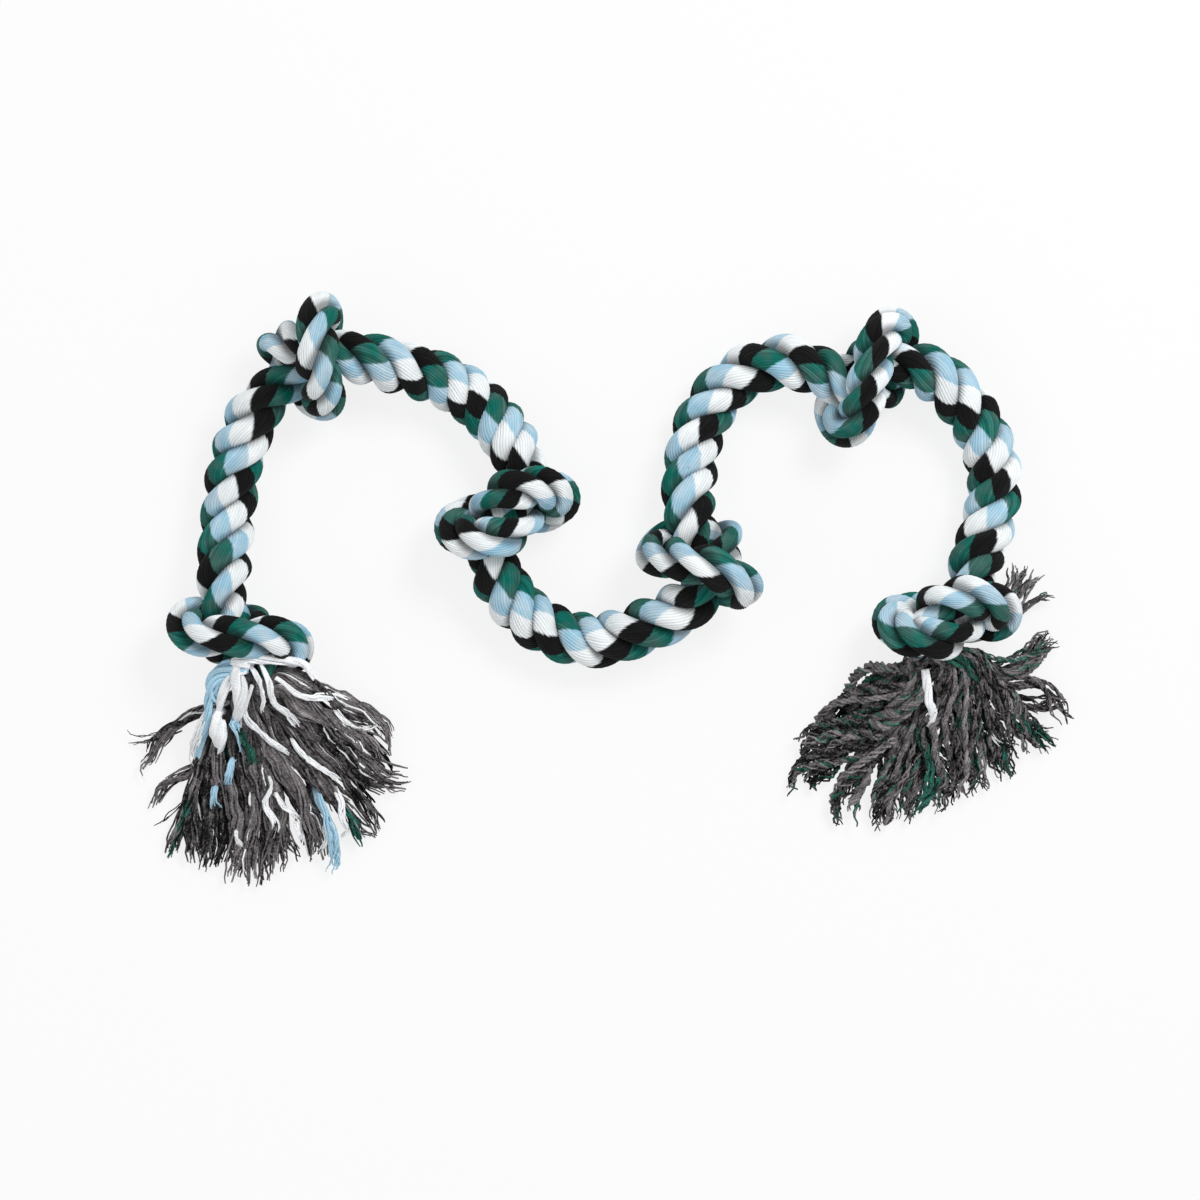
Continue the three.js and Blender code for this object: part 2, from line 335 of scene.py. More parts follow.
# %% Adding a node
# Short names for the kinds that are used often, and for the operations on numbers and on vectors
MATH, VECTOR = "ShaderNodeMath", "ShaderNodeVectorMath"
STORE, READ = "GeometryNodeStoreNamedAttribute", "GeometryNodeInputNamedAttribute"
MOVE, COMBINE = "GeometryNodeSetPosition", "ShaderNodeCombineXYZ"
REMAP, NOISE, RECOLOUR = "ShaderNodeMapRange", "ShaderNodeTexNoise", "ShaderNodeHueSaturation"
ADD, SUBTRACT, MULTIPLY, DIVIDE = [(MATH, name) for name in ("ADD", "SUBTRACT", "MULTIPLY", "DIVIDE")]
MAXIMUM, SMOOTH_MAX, LESS_THAN = [(MATH, name) for name in ("MAXIMUM", "SMOOTH_MAX", "LESS_THAN")]
FLOOR, CEIL, FRACT, ABSOLUTE = [(MATH, name) for name in ("FLOOR", "CEIL", "FRACT", "ABSOLUTE")]
SQRT, SINE, COSINE, WRAP = [(MATH, name) for name in ("SQRT", "SINE", "COSINE", "WRAP")]
PLUS, MINUS, OVER = [(VECTOR, name) for name in ("ADD", "SUBTRACT", "DIVIDE")]
SCALE, CROSS, DOT, UNIT = [(VECTOR, name) for name in ("SCALE", "CROSS_PRODUCT", "DOT_PRODUCT", "NORMALIZE")]
# The kind of an input follows from its value, and one without a value is a material
SOCKETS = {float: "NodeSocketFloat", int: "NodeSocketInt", tuple: "NodeSocketVector",
           type(None): "NodeSocketMaterial"}


def add(tree, kind, *inputs, output=0, **settings):
    """Adds a node and returns one of its outputs. None leaves an input as it is."""
    if isinstance(kind, tuple):
        kind, settings["operation"] = kind
    made = tree.nodes.new(kind)
    for name, value in settings.items():
        setattr(made, name, value)
    for socket, value in zip([s for s in made.inputs if s.enabled], inputs):
        if isinstance(value, bpy.types.NodeSocket):
            tree.links.new(value, socket)
        elif value is not None:
            socket.default_value = value
    return [s for s in made.outputs if s.enabled][output]


def shape_tree(name, inputs):
    """A geometry tree with named inputs, the function that adds its nodes, and its inputs by name."""
    tree = bpy.data.node_groups.new(name, "GeometryNodeTree")
    for way in ("INPUT", "OUTPUT"):
        tree.interface.new_socket(name="Geometry", in_out=way, socket_type="NodeSocketGeometry")
    for title, value in inputs.items():
        socket = tree.interface.new_socket(name=title, in_out="INPUT", socket_type=SOCKETS[type(value)])
        if value is not None:
            socket.default_value = value
    given = tree.nodes.new("NodeGroupInput").outputs
    return tree, functools.partial(add, tree), {title: given[title] for title in ("Geometry", *inputs)}


def end_tree(tree, geometry):
    """Makes the geometry what the tree gives back."""
    tree.links.new(geometry, tree.nodes.new("NodeGroupOutput").inputs[0])


# %% [markdown]
# ## One strand
# A strand is a tube that winds round the rope's middle. Its grid of points has one row for each point of
# the rope and one column for each line along its yarns, so a ridge and a colour stay on their yarn all the
# way. The columns turn back against the lay, as real yarns do, and stand a little closer together outside
# than inside, where the strand is pressed flat. The floor flattens what lies on it.

# %% Tree of one strand: where its grid points lie
YARNS_PER_COLOUR, YARN_POINTS = 5, 6
strand_tree, strand, given = shape_tree("one strand", {
    "Strand turn": 0.0,
    "Which strand": (1.0, 0.0, 0.0),
    "Points around": COLOURS * YARNS_PER_COLOUR * YARN_POINTS + 1,
    "Yarns around": float(COLOURS * YARNS_PER_COLOUR),
    "Strand radius share": 0.464,
    "Lay radius share": 0.536,
    "Widening": 0.9,
    "Crowding outside": 0.139,
    "Colour slant": 0.4,
    "Yarn depth": 0.45 * MM,
    "Floor rounding": 1.5 * MM,
})
points = strand("GeometryNodeAttributeDomainSize", given["Geometry"], component="MESH")
index = strand("GeometryNodeInputIndex")
row = strand(FLOOR, strand(DIVIDE, index, given["Points around"]))
passed = strand(MULTIPLY, row, given["Points around"])
column = strand(SUBTRACT, index, passed)
last_column = strand(SUBTRACT, given["Points around"], 1.0)
share = strand(DIVIDE, column, last_column)

# Values of the rope's point that the row belongs to
at_row = {"position": strand("GeometryNodeInputPosition")}
ROPE_VECTORS = ["way", "up", "side", "crown_colours"]
ROPE_NUMBERS = ["rope_radius", "turn", "turn_rate", "section", "distance"]
for name in ROPE_VECTORS:
    at_row[name] = strand(READ, name, data_type="FLOAT_VECTOR")
for name in at_row:
    at_row[name] = strand("GeometryNodeSampleIndex", given["Geometry"], at_row[name], row,
                          data_type="FLOAT_VECTOR")
for name in ROPE_NUMBERS:
    field = strand(READ, name, data_type="FLOAT")
    at_row[name] = strand("GeometryNodeSampleIndex", given["Geometry"], field, row, data_type="FLOAT")

# From the rope's middle to the strand's, the way round the rope, and across the strand
angle = strand(ADD, at_row["turn"], given["Strand turn"])
cosine = strand(COSINE, angle)
sine = strand(SINE, angle)
outward = strand(PLUS, strand(SCALE, at_row["up"], cosine), strand(SCALE, at_row["side"], sine))
onward = strand(MINUS, strand(SCALE, at_row["side"], cosine), strand(SCALE, at_row["up"], sine))
lay_radius = strand(MULTIPLY, at_row["rope_radius"], given["Lay radius share"])
winding = strand(MULTIPLY, lay_radius, at_row["turn_rate"])
strand_way = strand(PLUS, at_row["way"], strand(SCALE, onward, winding))
across = strand(UNIT, strand(CROSS, strand_way, outward))

# %% Tree of one strand: its section, its ridges and its attributes
crown = strand(DOT, at_row["crown_colours"], given["Which strand"])
turned_back = strand(MULTIPLY, crown, 2 * math.pi / COLOURS)
around = strand(SUBTRACT, strand(MULTIPLY, share, 2 * math.pi), turned_back)
crowding = strand(MULTIPLY, strand(SINE, around), given["Crowding outside"])
section_angle = strand(SUBTRACT, around, crowding)
place_in_yarn = strand(FRACT, strand(MULTIPLY, share, given["Yarns around"]))
off_middle = strand(SUBTRACT, place_in_yarn, 0.5)
flank = strand(MULTIPLY, strand(MULTIPLY, off_middle, off_middle), 4.0)
ridge = strand(MULTIPLY, strand(SUBTRACT, 1.0, flank), given["Yarn depth"])
smooth_radius = strand(MULTIPLY, at_row["rope_radius"], given["Strand radius share"])
strand_radius = strand(MULTIPLY, strand(ADD, smooth_radius, ridge), at_row["section"])
height = strand(MULTIPLY, strand(COSINE, section_angle), strand_radius)
width = strand(MULTIPLY, strand(SINE, section_angle), strand_radius)
width = strand(MULTIPLY, width, given["Widening"])
from_middle = strand(ADD, lay_radius, height)
place = strand(PLUS, at_row["position"], strand(SCALE, outward, from_middle))
place = strand(PLUS, place, strand(SCALE, across, width))
parts = strand("ShaderNodeSeparateXYZ", place).node.outputs
rested = strand(SMOOTH_MAX, parts["Z"], 0.0, given["Floor rounding"])
place = strand(COMBINE, parts["X"], parts["Y"], rested)

# A colour's borders cross the strand more steeply than its yarns do, with their seam on the inner side
off_crown = strand(WRAP, around, math.pi, -math.pi)
off_crown = strand(MULTIPLY, strand(MULTIPLY, off_crown, COLOURS / 2 / math.pi), given["Colour slant"])

made = strand("GeometryNodeMeshGrid", 1.0, 1.0, points, given["Points around"])
made = strand(MOVE, made, None, place)
STRAND_ATTRIBUTES = {
    "yarn": strand(MULTIPLY, share, float(COLOURS)),
    "dyed": strand(ADD, crown, off_crown),
    # How far a point faces out from the rope's middle, from which the material paints shade into the hollows
    "facing": strand(COSINE, around),
    "along": at_row["distance"],
    "strand": strand(DOT, given["Which strand"], (0.0, 1.0, 2.0)),
}
# They are worked out on points and stored on the faces' corners, so that the seam has both its values
for name, field in STRAND_ATTRIBUTES.items():
    of_point = strand("GeometryNodeFieldOnDomain", field, data_type="FLOAT", domain="POINT")
    made = strand(STORE, made, None, name, of_point, data_type="FLOAT", domain="CORNER")
# The seam and the ends are closed
MERGE_DISTANCE = 0.005 * MM
made = strand("GeometryNodeMergeByDistance", made, None, MERGE_DISTANCE)
# Rolled up this way round, the grid's faces look into the strand
made = strand("GeometryNodeFlipFaces", made)
made = strand("GeometryNodeSetShadeSmooth", made)
end_tree(strand_tree, made)
print(len(strand_tree.nodes), "nodes make one strand")

# %% [markdown]
# ## Three strands
# The rope's tree uses the strand's tree three times, a third of a turn apart.

# %% Tree of the rope
rope_tree, rope, given = shape_tree("laid rope", {
    "Strands apart": -LENS_TURN,
    "Finish": None,
})
joined = rope("GeometryNodeJoinGeometry")
for number in range(STRANDS):
    behind = rope(MULTIPLY, given["Strands apart"], float(number))
    which = tuple(float(number == other) for other in range(STRANDS))
    one = rope("GeometryNodeGroup", given["Geometry"], behind, which, node_tree=strand_tree)
    rope_tree.links.new(one, joined.node.inputs[0])
made = rope("GeometryNodeRealizeInstances", joined)
made = rope("GeometryNodeSetMaterial", made, None, given["Finish"])
end_tree(rope_tree, made)
print(STRANDS, "strands make the rope")

# %% [markdown]
# ## Cotton
# The rope is soft-spun cotton. Dyed cotton is matt, with a short fuzz that catches light at its edges, and
# each yarn takes the dye a little differently. The colour follows the yarns, so the material reads the
# attributes that the strands' tree left on the surface. Borders between colours are a little uneven,
# because single fibres cross them.

# %% Colours
def linear(code, alpha=1.0):
    """An sRGB hex colour as Blender's linear values."""
    values = [int(code[k:k + 2], 16) / 255 for k in (1, 3, 5)]
    return (*[v / 12.92 if v <= 0.04045 else ((v + 0.055) / 1.055) ** 2.4 for v in values], alpha)


GREEN, LIGHT_BLUE, WHITE, BLACK = "#236e64", "#abd0e3", "#f4f9fb", "#0c0c0d"
CHARCOAL = "#656162"

# %% Start of a cotton material
COTTON_ROUGHNESS, COTTON_SPECULAR = 0.9, 0.15
COTTON_SHEEN, SHEEN_ROUGHNESS = 0.07, 0.5


def new_material(name):
    """A cotton material, its shader's inputs, the function that adds its nodes, and its tree."""
    material = bpy.data.materials.new(name)
    material.use_nodes = True
    tree = material.node_tree
    tree.nodes.clear()
    shader = add(tree, "ShaderNodeBsdfPrincipled")
    tree.links.new(shader, tree.nodes.new("ShaderNodeOutputMaterial").inputs["Surface"])
    sockets = shader.node.inputs
    sockets["Roughness"].default_value = COTTON_ROUGHNESS
    sockets["Specular IOR Level"].default_value = COTTON_SPECULAR
    sockets["Sheen Weight"].default_value = COTTON_SHEEN
    sockets["Sheen Roughness"].default_value = SHEEN_ROUGHNESS
    return material, sockets, functools.partial(add, tree), tree


# %% Laid cotton: the colour of each yarn
laid_cotton, shader, dye, dye_tree = new_material("laid cotton")
stored = {name: dye("ShaderNodeAttribute", output=2, attribute_name=name) for name in STRAND_ATTRIBUTES}
place = dye("ShaderNodeTexCoord", output=3)
# The strands lie this far apart in the noise, so that no two have the same pattern
NOISE_APART = 31.7
of_strand = dye(MULTIPLY, stored["strand"], NOISE_APART)


def along_yarns(length, per_yarn):
    """A place for noise that is drawn out along the yarns, with so many patches side by side on each."""
    return dye(COMBINE, dye(MULTIPLY, stored["along"], 1 / length),
               dye(MULTIPLY, stored["yarn"], float(YARNS_PER_COLOUR * per_yarn)), of_strand)


# Fibres of one colour run a little way over the next yarn, as streaks along the yarns
STREAK_LENGTH, STREAKS_PER_YARN, STREAK_COLOURS = 5 * MM, 3, 0.2
streaks = dye(NOISE, along_yarns(STREAK_LENGTH, STREAKS_PER_YARN), 1.0, 2.0)
streaks = dye(MULTIPLY, dye(SUBTRACT, streaks, 0.5), STREAK_COLOURS)
dyed = dye(DIVIDE, dye(ADD, stored["dyed"], streaks), float(COLOURS))
colour = dye("ShaderNodeValToRGB", dye(FRACT, dyed))
ramp = colour.node.color_ramp
# Half the width of a border between two colours, as a share of all four
BORDER = 0.012
codes = [GREEN, LIGHT_BLUE, WHITE, BLACK]
ramp.elements[0].color = ramp.elements[1].color = linear(GREEN)
ramp.elements[1].position = 1 / COLOURS - BORDER
for number in range(1, COLOURS):
    ramp.elements.new(number / COLOURS + BORDER).color = linear(codes[number])
    ramp.elements.new((number + 1) / COLOURS - BORDER).color = linear(codes[number])
ramp.elements.new(1.0).color = linear(GREEN)
print("colours round a strand:", *codes)

# %% Laid cotton: how its shade varies
# Each yarn takes the dye a little differently, and so does each patch of it
DYE_PATCH = 7 * MM
TAKEN, GAMMAS, SHADES = (0.3, 1.7), (1.22, 0.86), (0.9, 1.06)
yarns = dye(MULTIPLY, stored["yarn"], float(YARNS_PER_COLOUR))
of_yarn = dye("ShaderNodeTexWhiteNoise", dye(ADD, dye(FLOOR, yarns), of_strand), noise_dimensions="1D")
taken = dye(ADD, of_yarn, dye(NOISE, place, 1 / DYE_PATCH, 2.0))
colour = dye("ShaderNodeGamma", colour, dye(REMAP, taken, *TAKEN, *GAMMAS))
shade = dye(REMAP, taken, *TAKEN, *SHADES)
# Painted shade: it is darker in the grooves between yarns
GROOVE_FROM, GROOVE_SHADE = 0.25, 0.8
off_middle = dye(ABSOLUTE, dye(SUBTRACT, dye(FRACT, yarns), 0.5))
painted_groove_shade = dye(REMAP, off_middle, GROOVE_FROM, 0.5, 1.0, GROOVE_SHADE)
shade = dye(MULTIPLY, shade, painted_groove_shade)
# Painted shade also darkens the hollows where the strands meet, which the light doesn't reach
HIDDEN_AT, OPEN_AT, HIDDEN_SHADE = -0.1, 0.55, 0.42
painted_hollow_shade = dye(REMAP, stored["facing"], HIDDEN_AT, OPEN_AT, HIDDEN_SHADE, 1.0)
shade = dye(MULTIPLY, shade, painted_hollow_shade)
# Wear has taken some of the colour in patches
WORN_PATCH, WORN_AT, SATURATIONS = 11 * MM, (0.35, 0.65), (0.7, 1.1)
worn = dye(NOISE, place, 1 / WORN_PATCH, 1.0)
saturation = dye(REMAP, worn, *WORN_AT, *SATURATIONS)
colour = dye(RECOLOUR, 0.5, saturation, shade, 1.0, colour)
# A few dark motes of the cotton plant stay in the yarns
MOTE_DISTANCE, MOTE_RADIUS, MOTE_CORE, MOTE_DARKNESS = 16 * MM, 0.5 * MM, 0.7, 0.6
motes = dye("ShaderNodeTexVoronoi", place, 1 / MOTE_DISTANCE)
mote_edges = MOTE_CORE * MOTE_RADIUS / MOTE_DISTANCE, MOTE_RADIUS / MOTE_DISTANCE
mote = dye(REMAP, motes, *mote_edges, MOTE_DARKNESS, 0.0)
colour = dye("ShaderNodeMix", mote, colour, linear("#3b332c"), data_type="RGBA")
dye_tree.links.new(colour, shader["Base Color"])

# Fibres run along the yarns. Real ones are too fine to show, so they are drawn as tufts of some of them
FIBRE_LENGTH, FIBRES_PER_YARN, FIBRE_HEIGHT, BUMP_STRENGTH = 3 * MM, 4, 0.15 * MM, 0.5
fibres = dye(NOISE, along_yarns(FIBRE_LENGTH, FIBRES_PER_YARN), 1.0, 3.0)
bump = dye("ShaderNodeBump", BUMP_STRENGTH, FIBRE_HEIGHT)
dye_tree.links.new(fibres, bump.node.inputs["Height"])
dye_tree.links.new(bump, shader["Normal"])
print(len(dye_tree.nodes), "nodes make the laid cotton")

# %% [markdown]
# ## Rope pieces
# The rope bends between its knots, so it is made as six pieces, each a knot with the free stretch after it.
# All of them are cut from the same strands, and every piece runs a little into the next one, thinner there,
# so that no cut shows. A piece is the rope's tree on a line of points that carry the rope's values, turned
# into a plain mesh.

# %% Values along the rope
# How thick a strand is at the three points by which a piece runs on past its end
OVERLAP_SECTIONS = (0.985, 0.9, 0.0)
rope_values = {
    "way": way, "up": up, "side": side, "crown_colours": np.stack(crown_colours, axis=1),
    "rope_radius": radius, "turn": turn, "turn_rate": np.gradient(turn, along), "distance": along,
}


def plain_mesh(name, tree, start, inputs):
    """An object with the mesh that a tree makes of a start mesh, with its inputs given by their names."""
    carrier = bpy.data.objects.new(name, start)
    bpy.context.scene.collection.objects.link(carrier)
    modifier = carrier.modifiers.new("shape", "NODES")
    modifier.node_group = tree
    for item in tree.interface.items_tree:
        if item.name in inputs:
            modifier[item.identifier] = inputs[item.name]
    evaluated = carrier.evaluated_get(bpy.context.evaluated_depsgraph_get())
    mesh = bpy.data.meshes.new_from_object(evaluated)
    carrier.modifiers.remove(modifier)
    carrier.data = mesh
    mesh.name = name
    return carrier


def put_attribute(mesh, name, values):
    """Leaves a number or a vector on each point of a mesh."""
    vectors = values.ndim == 2
    attribute = mesh.attributes.new(name, "FLOAT_VECTOR" if vectors else "FLOAT", "POINT")
    attribute.data.foreach_set("vector" if vectors else "value", values.astype(np.float32).ravel())


def rope_piece(name, first, last):
    """The rope between two of its points, with the overlaps at both ends."""
    reach = len(OVERLAP_SECTIONS)
    wanted = np.clip(np.arange(first - reach, last + reach + 1), 0, len(along) - 1)
    section = np.ones(len(wanted))
    section[:reach] = OVERLAP_SECTIONS[::-1]
    section[-reach:] = OVERLAP_SECTIONS
    line = bpy.data.meshes.new(name)
    line.from_pydata(centre[wanted], [(k, k + 1) for k in range(len(wanted) - 1)], [])
    for title, values in rope_values.items():
        put_attribute(line, title, values[wanted])
    put_attribute(line, "section", section)
    return plain_mesh(name, rope_tree, line, {"Finish": laid_cotton})


# %% Six pieces of rope
BODIES = ["left_end", "left_top", "middle", "centre_right", "right_top", "right_end"]
# Points this far from the knots are looked up on each stretch, where its bend starts and ends
BEND_INSET = 12 * MM
# The strands already come undone this far inside the end knots
UNDONE = 12 * MM
cuts = [UNDONE, *knot_from[1:], along[-1] - UNDONE]
borders = [round(float(cut) / along[-1] * (len(along) - 1)) for cut in cuts]
for number, body in enumerate(BODIES):
    first, last = borders[number], borders[number + 1]
    piece = rope_piece(f"rope_{number + 1}", first, last)
    nodes = [f"knot_{number + 1}"]
    if number + 1 < len(BODIES):
        nodes.append(f"rope_span_{number + 1}")
        bend = [np.interp(spot, along, np.arange(len(along))) for spot in
                (knot_to[number] + BEND_INSET, knot_from[number + 1] - BEND_INSET)]
        start, end = (centre[round(float(spot))] for spot in bend)
        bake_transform(piece)
    else:
        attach(piece, body)
    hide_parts(*nodes)

# %% [markdown]
# ## Frayed ends
# Past its last knots the rope is undone into its yarns, which fan out over the floor in bundles. Each end
# has its own look: the left one falls apart into flat, crumpled bundles of fine yarns with white and blue
# ones among them, and the right one stays in thicker, twisted cords. At both ends some parts of the strands
# still hold together. The eye follows the bundles one by one, so the way of each was drawn over the
# floor. How high it runs follows from its place in the heap: it leaves the rope's end at the height of the
# rope and sinks to the floor.

# %% Bundles of the left end
CHARCOAL_YARN, WHITE_YARN, GREEN_YARN, BLUE_YARN = range(4)
# For each bundle: the colour of its yarns, its level in the heap, its radius in millimetres, its number of
# yarns, and the points that it passes, in millimetres
LEFT_BUNDLES = [
    (CHARCOAL_YARN, 0.45, 4, 9, [(-209, -57), (-223, -64), (-236, -71), (-249, -78), (-256, -89),
     (-262, -99), (-261, -106)]),
    (CHARCOAL_YARN, 0.3, 3.6, 8, [(-209, -67), (-226, -91), (-236, -100), (-247, -106), (-255, -117),
     (-257, -124)]),
    (CHARCOAL_YARN, 0.7, 5.5, 13, [(-193, -51), (-183, -44), (-169, -49), (-155, -56), (-142, -65),
     (-128, -71), (-120, -82), (-119, -91)]),
    (CHARCOAL_YARN, 0.8, 6.5, 16, [(-193, -53), (-181, -51), (-169, -63), (-155, -72), (-142, -78),
     (-129, -86), (-121, -94)]),
    (CHARCOAL_YARN, 0.5, 6.5, 16, [(-193, -56), (-179, -63), (-162, -77), (-148, -86), (-132, -96),
     (-119, -101), (-108, -101)]),
    (CHARCOAL_YARN, 0.35, 6, 14, [(-193, -58), (-176, -72), (-160, -87), (-143, -99), (-127, -107),
     (-112, -112)]),
    (CHARCOAL_YARN, 0.6, 6.5, 15, [(-199, -55), (-190, -67), (-181, -84), (-167, -99), (-154, -112),
     (-143, -126), (-128, -140)]),
    (CHARCOAL_YARN, 0.3, 6, 14, [(-195, -58), (-179, -78), (-162, -94), (-146, -107), (-133, -121),
     (-126, -136)]),
    (CHARCOAL_YARN, 0.75, 6, 14, [(-202, -53), (-197, -72), (-187, -91), (-175, -107), (-166, -125),
     (-159, -140), (-156, -151)]),
    (CHARCOAL_YARN, 0.6, 6, 14, [(-209, -57), (-201, -77), (-190, -103), (-184, -119), (-181, -137),
     (-173, -153)]),
    (CHARCOAL_YARN, 0.3, 6, 13, [(-200, -63), (-186, -91), (-174, -111), (-169, -128), (-166, -143),
     (-163, -154)]),
    (CHARCOAL_YARN, 0.7, 6, 13, [(-204, -63), (-200, -84), (-193, -107), (-190, -131), (-188, -164)]),
    (CHARCOAL_YARN, 0.35, 5.5, 12, [(-202, -67), (-193, -96), (-186, -119), (-181, -143), (-181, -159)]),
    (CHARCOAL_YARN, 0.55, 6, 13, [(-211, -67), (-209, -89), (-202, -111), (-199, -128), (-199, -146),
     (-199, -166)]),
    (CHARCOAL_YARN, 0.3, 5.5, 12, [(-207, -72), (-200, -103), (-194, -126), (-194, -145), (-193, -165)]),
    (CHARCOAL_YARN, 0.6, 5.5, 12, [(-216, -67), (-219, -89), (-213, -107), (-208, -125), (-209, -143),
     (-211, -165)]),
    (CHARCOAL_YARN, 0.3, 5, 11, [(-214, -72), (-209, -103), (-204, -125), (-204, -145), (-206, -162)]),
    (CHARCOAL_YARN, 0.55, 5.5, 12, [(-220, -67), (-223, -89), (-222, -111), (-224, -126), (-223, -143),
     (-224, -158)]),
    (CHARCOAL_YARN, 0.3, 5, 11, [(-219, -72), (-219, -103), (-216, -126), (-216, -143), (-219, -160)]),
    (CHARCOAL_YARN, 0.5, 5.5, 12, [(-222, -67), (-228, -89), (-230, -105), (-233, -119), (-235, -131),
     (-234, -154)]),
    (CHARCOAL_YARN, 0.3, 5, 10, [(-223, -77), (-230, -103), (-230, -124), (-229, -140), (-229, -158)]),
    (CHARCOAL_YARN, 0.35, 4.5, 10, [(-223, -74), (-231, -98), (-236, -113), (-242, -131), (-246, -151)]),
    (GREEN_YARN, 0.55, 3, 6, [(-224, -96), (-234, -113), (-238, -128), (-243, -139), (-246, -150)]),
    (GREEN_YARN, 0.95, 5, 10, [(-209, -72), (-203, -82), (-199, -92), (-200, -103)]),
    (GREEN_YARN, 0.7, 3.5, 6, [(-158, -107), (-147, -120), (-139, -132), (-135, -144)]),
    (GREEN_YARN, 0.5, 3, 5, [(-216, -84), (-213, -91), (-207, -96), (-204, -105)]),
    (WHITE_YARN, 1.05, 3.1, 6, [(-221, -57), (-224, -67), (-229, -77), (-233, -89), (-229, -98)]),
    (BLUE_YARN, 1.1, 3, 6, [(-209, -67), (-207, -77), (-205, -84), (-204, -92)]),
    (BLUE_YARN, 1.1, 3.2, 7, [(-209, -91), (-211, -98), (-213, -105), (-213, -112)]),
    (BLUE_YARN, 1.0, 2.8, 5, [(-220, -107), (-221, -113), (-221, -119), (-220, -124)]),
    (WHITE_YARN, 1, 2.1, 4, [(-200, -37), (-194, -47), (-191, -57), (-192, -67)]),
    (WHITE_YARN, 1.1, 2.9, 5, [(-194, -36), (-188, -47), (-185, -59), (-177, -67), (-172, -77)]),
    (WHITE_YARN, 1, 2.5, 5, [(-202, -67), (-195, -78), (-186, -84), (-177, -93), (-176, -101)]),
    (WHITE_YARN, 1, 2.1, 4, [(-194, -96), (-188, -107), (-191, -119), (-185, -130), (-189, -151)]),
    (WHITE_YARN, 1, 1.8, 4, [(-188, -109), (-179, -120), (-168, -131)]),
    (WHITE_YARN, 1, 2.5, 5, [(-180, -77), (-173, -87), (-162, -96), (-148, -106), (-146, -112)]),
    (WHITE_YARN, 0.9, 2.3, 4, [(-152, -107), (-147, -118), (-147, -128), (-143, -134), (-147, -139)]),
    (WHITE_YARN, 1.1, 3.1, 6, [(-169, -55), (-158, -57), (-148, -59), (-139, -64)]),
    (WHITE_YARN, 1.1, 1.7, 3, [(-154, -62), (-145, -71), (-134, -76), (-125, -73)]),
    (BLUE_YARN, 0.95, 3.6, 8, [(-164, -108), (-159, -119), (-155, -130), (-152, -140), (-151, -150),
     (-153, -160)]),
    (WHITE_YARN, 0.8, 1.8, 3, [(-158, -128), (-156, -140), (-162, -148)]),
    (WHITE_YARN, 0.8, 1.6, 3, [(-174, -128), (-170, -140), (-169, -137)]),
    (WHITE_YARN, 0.7, 1.6, 3, [(-206, -131), (-208, -138), (-202, -148)]),
    (CHARCOAL_YARN, 0.1, 5.5, 6, [(-199, -43), (-217, -79), (-228, -114), (-236, -143)]),
    (CHARCOAL_YARN, 0.1, 5.5, 6, [(-197, -45), (-203, -87), (-207, -122), (-210, -156)]),
    (CHARCOAL_YARN, 0.1, 5.5, 6, [(-195, -45), (-190, -87), (-188, -122), (-191, -158)]),
    (CHARCOAL_YARN, 0.1, 5.5, 6, [(-193, -45), (-176, -83), (-166, -114), (-165, -147)]),
    (CHARCOAL_YARN, 0.1, 5.5, 6, [(-191, -43), (-164, -75), (-145, -99), (-131, -120)]),
    (CHARCOAL_YARN, 0.1, 5.5, 6, [(-189, -41), (-160, -62), (-134, -81), (-118, -103)]),
    (CHARCOAL_YARN, 0.4, 0.8, 1, [(-236, -72), (-254, -80), (-267, -80), (-270, -78)]),
    (CHARCOAL_YARN, 0.35, 0.8, 1, [(-240, -77), (-257, -83), (-268, -84), (-273, -83)]),
    (CHARCOAL_YARN, 0.3, 0.8, 1, [(-233, -114), (-244, -123), (-251, -130), (-257, -132)]),
]
# Parts of the strands that still hold together, white and light blue, just under the knot
LEFT_STRAND_ENDS = [
    (BLUE_YARN, 1.05, 5.6, 12, [(-209, -40), (-216, -43), (-220, -49), (-220, -55), (-216, -59)]),
    (WHITE_YARN, 1.1, 5.2, 11, [(-205, -37), (-207, -44), (-205, -52), (-205, -62), (-207, -71)]),
    (WHITE_YARN, 1.1, 3.2, 7, [(-211, -46), (-214, -53), (-216, -60), (-217, -67), (-218, -74)]),
    (WHITE_YARN, 1.2, 5.4, 10, [(-217, -65), (-218, -72), (-218, -81), (-218, -89)]),
    (BLUE_YARN, 1.05, 3.6, 8, [(-219, -51), (-223, -60), (-224, -72), (-229, -83), (-230, -93),
     (-227, -103)]),
    (WHITE_YARN, 1.2, 3.1, 6, [(-209, -37), (-195, -35), (-181, -36), (-169, -38), (-162, -47)]),
]
print(sum(row[3] for row in LEFT_BUNDLES), "yarns in the left end's table")

